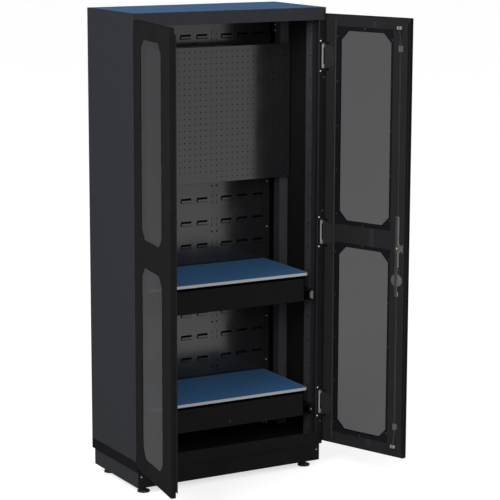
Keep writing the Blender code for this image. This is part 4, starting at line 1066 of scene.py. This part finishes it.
def make_runner_ends():
    """End stops in the outer runners: pale in the upper ones, black with a screw in the lower ones."""
    for level in LEVELS:
        for side in SIDES:
            node = f"{level}_{side}_outer_runner"
            low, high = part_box(node)
            _, outer = flanks(side, low, high)
            _, free = flanks(side, *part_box(f"{level}_{side}_inner_runner"))
            start, front = free + HAND[side] * STOP_GAP, low.y - STOP_PLATE
            bottom, top = low.z + STOP_INSET, high.z - STOP_INSET
            outline = stop_outline(start, outer, bottom, top)
            stop = outward(prism([(x, front, z) for x, z in outline], (0, STOP_LENGTH, 0)))
            finish = DULL_NYLON if level == "upper" else RUBBER_AND_SHADE
            folded(f"{node}_stop", stop, finish, "cabinet", radius=STOP_RADIUS)
            if level == "lower":
                place = ((start + outer) / 2, front, (bottom + top) / 2)
                heads(f"{node}_stop_screw", [place], FORWARDS, STOP_SCREW, MATT_ZINC)


def make_seam_seals():
    """Rubber seals behind the seam between the cap's skirt and the side panels."""
    thickness, reach = SEAM_SEAL
    for side in SIDES:
        low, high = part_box(f"{side}_side_panel")
        _, outer = flanks(side, low, high)
        sides = sorted(outer - HAND[side] * depth for depth in (SHEET, SHEET + thickness))
        seal = block((sides[0], low.y + SHEET, high.z - reach), (sides[1], high.y - SHEET, high.z + reach))
        piece(f"{side}_seam_seal", outward(seal), RUBBER_AND_SHADE, "cabinet")


def make_back_screws():
    """Screws that hold the rear sheet, on the rear flanges of the side panels."""
    places = []
    for side in SIDES:
        low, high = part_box(f"{side}_side_panel")
        _, outer = flanks(side, low, high)
        x = outer - HAND[side] * BACK_SCREW_INSET
        rows = evenly(low.z + BACK_SCREW_END, high.z - BACK_SCREW_END, BACK_SCREW_ROWS)
        places += [(x, high.y, z) for z in rows]
    heads("back_screws", places, (0, 1, 0), BACK_SCREW, MATT_ZINC)


def recoat(made, finish, picked):
    """Gives the faces that a rule picks another finish."""
    made.data.materials.append(finish)
    index = len(made.data.materials) - 1
    for face in made.data.polygons:
        if picked(face):
            face.material_index = index


def looks_forwards(face):
    """Whether a face looks to the front of the cabinet."""
    return face.normal.y < -FACING


def recoat_side(made, side):
    """A side panel's inner face is painted darker as painted shade inside the cabinet, and its front faces darker
    still, also painted shade.
    """
    outer = max(abs(corner.x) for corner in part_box(f"{side}_side_panel"))

    def painted_shade_inside(face):
        return face.normal.x * HAND[side] < 0 and outer - abs(face.center.x) < 2 * SHEET

    recoat(made, FINISHES["black_coat"], painted_shade_inside)
    recoat(made, DARK_ENAMEL_AND_SHADE, looks_forwards)


def recoat_skin(made, side):
    """Painted shade: the fold at a door's free edge is darker than its outer face."""
    along = door_space(side).col[0].xyz.normalized()
    recoat(made, FREE_EDGE_SHADE_COAT, lambda face: face.normal.dot(along) > FACING)


def recoat_leaf(made, side):
    """A hinge leaf's knuckle is near-black as painted shade of the slot beside the bracket's bar; its plate is
    lighter.
    """
    pivot = Vector(JOINTS[f"{side}_door_hinge"]["pos_m"]).to_2d()
    recoat(made, LEAF_COAT, lambda face: (face.center.to_2d() - pivot).length > KNUCKLE_RADIUS)


def second_finishes(dressed):
    """The pieces that have more than one finish."""
    # Painted shade: the rear sheet's inner face is near-black.
    recoat(dressed["rear_sheet"], RUBBER_AND_SHADE, looks_forwards)
    # Painted shade: the plinth's front is darker than its sides.
    recoat(dressed["plinth"], BASE_COAT_AND_SHADE, looks_forwards)
    for side in SIDES:
        recoat_side(dressed[f"{side}_side_panel"], side)
        recoat_skin(dressed[f"{side}_door_skin"], side)
        for node in sorted(dressed):
            if node.startswith(f"{side}_hinge_leaf"):
                recoat_leaf(dressed[node], side)


PLATES = ("zinc_plate", "black_plastic")
TURNED = ("levelling_foot", "lock_cam", "lock_handle", "lock_rosette", "lock_rod", "hinge")
REMADE = ("pegboard", "louvre_panel", "upright", "shelf_board", "lock_guide")
OWN_FINISH = {
    "top_cap": FINISHES["graphite_coat"],
    "side_panel": FINISHES["graphite_coat"],
    "rear_sheet": FINISHES["graphite_coat"],
    "base_tray": BASE_COAT_AND_SHADE,
    "shelf_carrier": DARK_ENAMEL_AND_SHADE,
    "runner": DARK_ENAMEL_AND_SHADE,
    "lock_cam": LOCK_GREY,
    "lock_rod": DARK_STEEL,
    # The liner's lightened coat is painted light.
    "door_liner": LINER_LIGHT_AND_SHADE_COAT,
    # The knuckle's near-black is painted shade.
    "hinge_leaf": RUBBER_AND_SHADE,
    "hinge": FINISHES["black_coat"],
    # The feet's grey is partly painted light.
    "levelling_foot": GREY_RUBBER_AND_LIGHT,
}


def dress(node):
    """Stands in for a CAD node of the same shape, with rounded edges and its finish."""
    slot = SLOTS[node]
    finish = next((own for part, own in OWN_FINISH.items() if part in node), FINISHES[slot])
    if any(part in node for part in TURNED):
        return piece(f"{node}_dressed", solid(node), finish, BODIES[node], (node,), rounded=True)
    radius = PLATE_RADIUS if slot in PLATES else FOLD_RADIUS
    return folded(f"{node}_dressed", solid(node), finish, BODIES[node], (node,), radius)


def main():
    """Dresses every node and adds the pieces that only the looks need."""
    make_camera()
    make_studio()
    kept = [node for node in sorted(NODES) if not any(part in node for part in REMADE)]
    second_finishes({node: dress(node) for node in kept})
    make_pegboard()
    make_wall()
    make_uprights()
    for level in LEVELS:
        make_shelf(level)
    for side in SIDES:
        make_door(side)
    make_lock()
    make_hinges()
    make_seam_seals()
    make_back_screws()
    make_runner_ends()
    make_base_screws()


main()
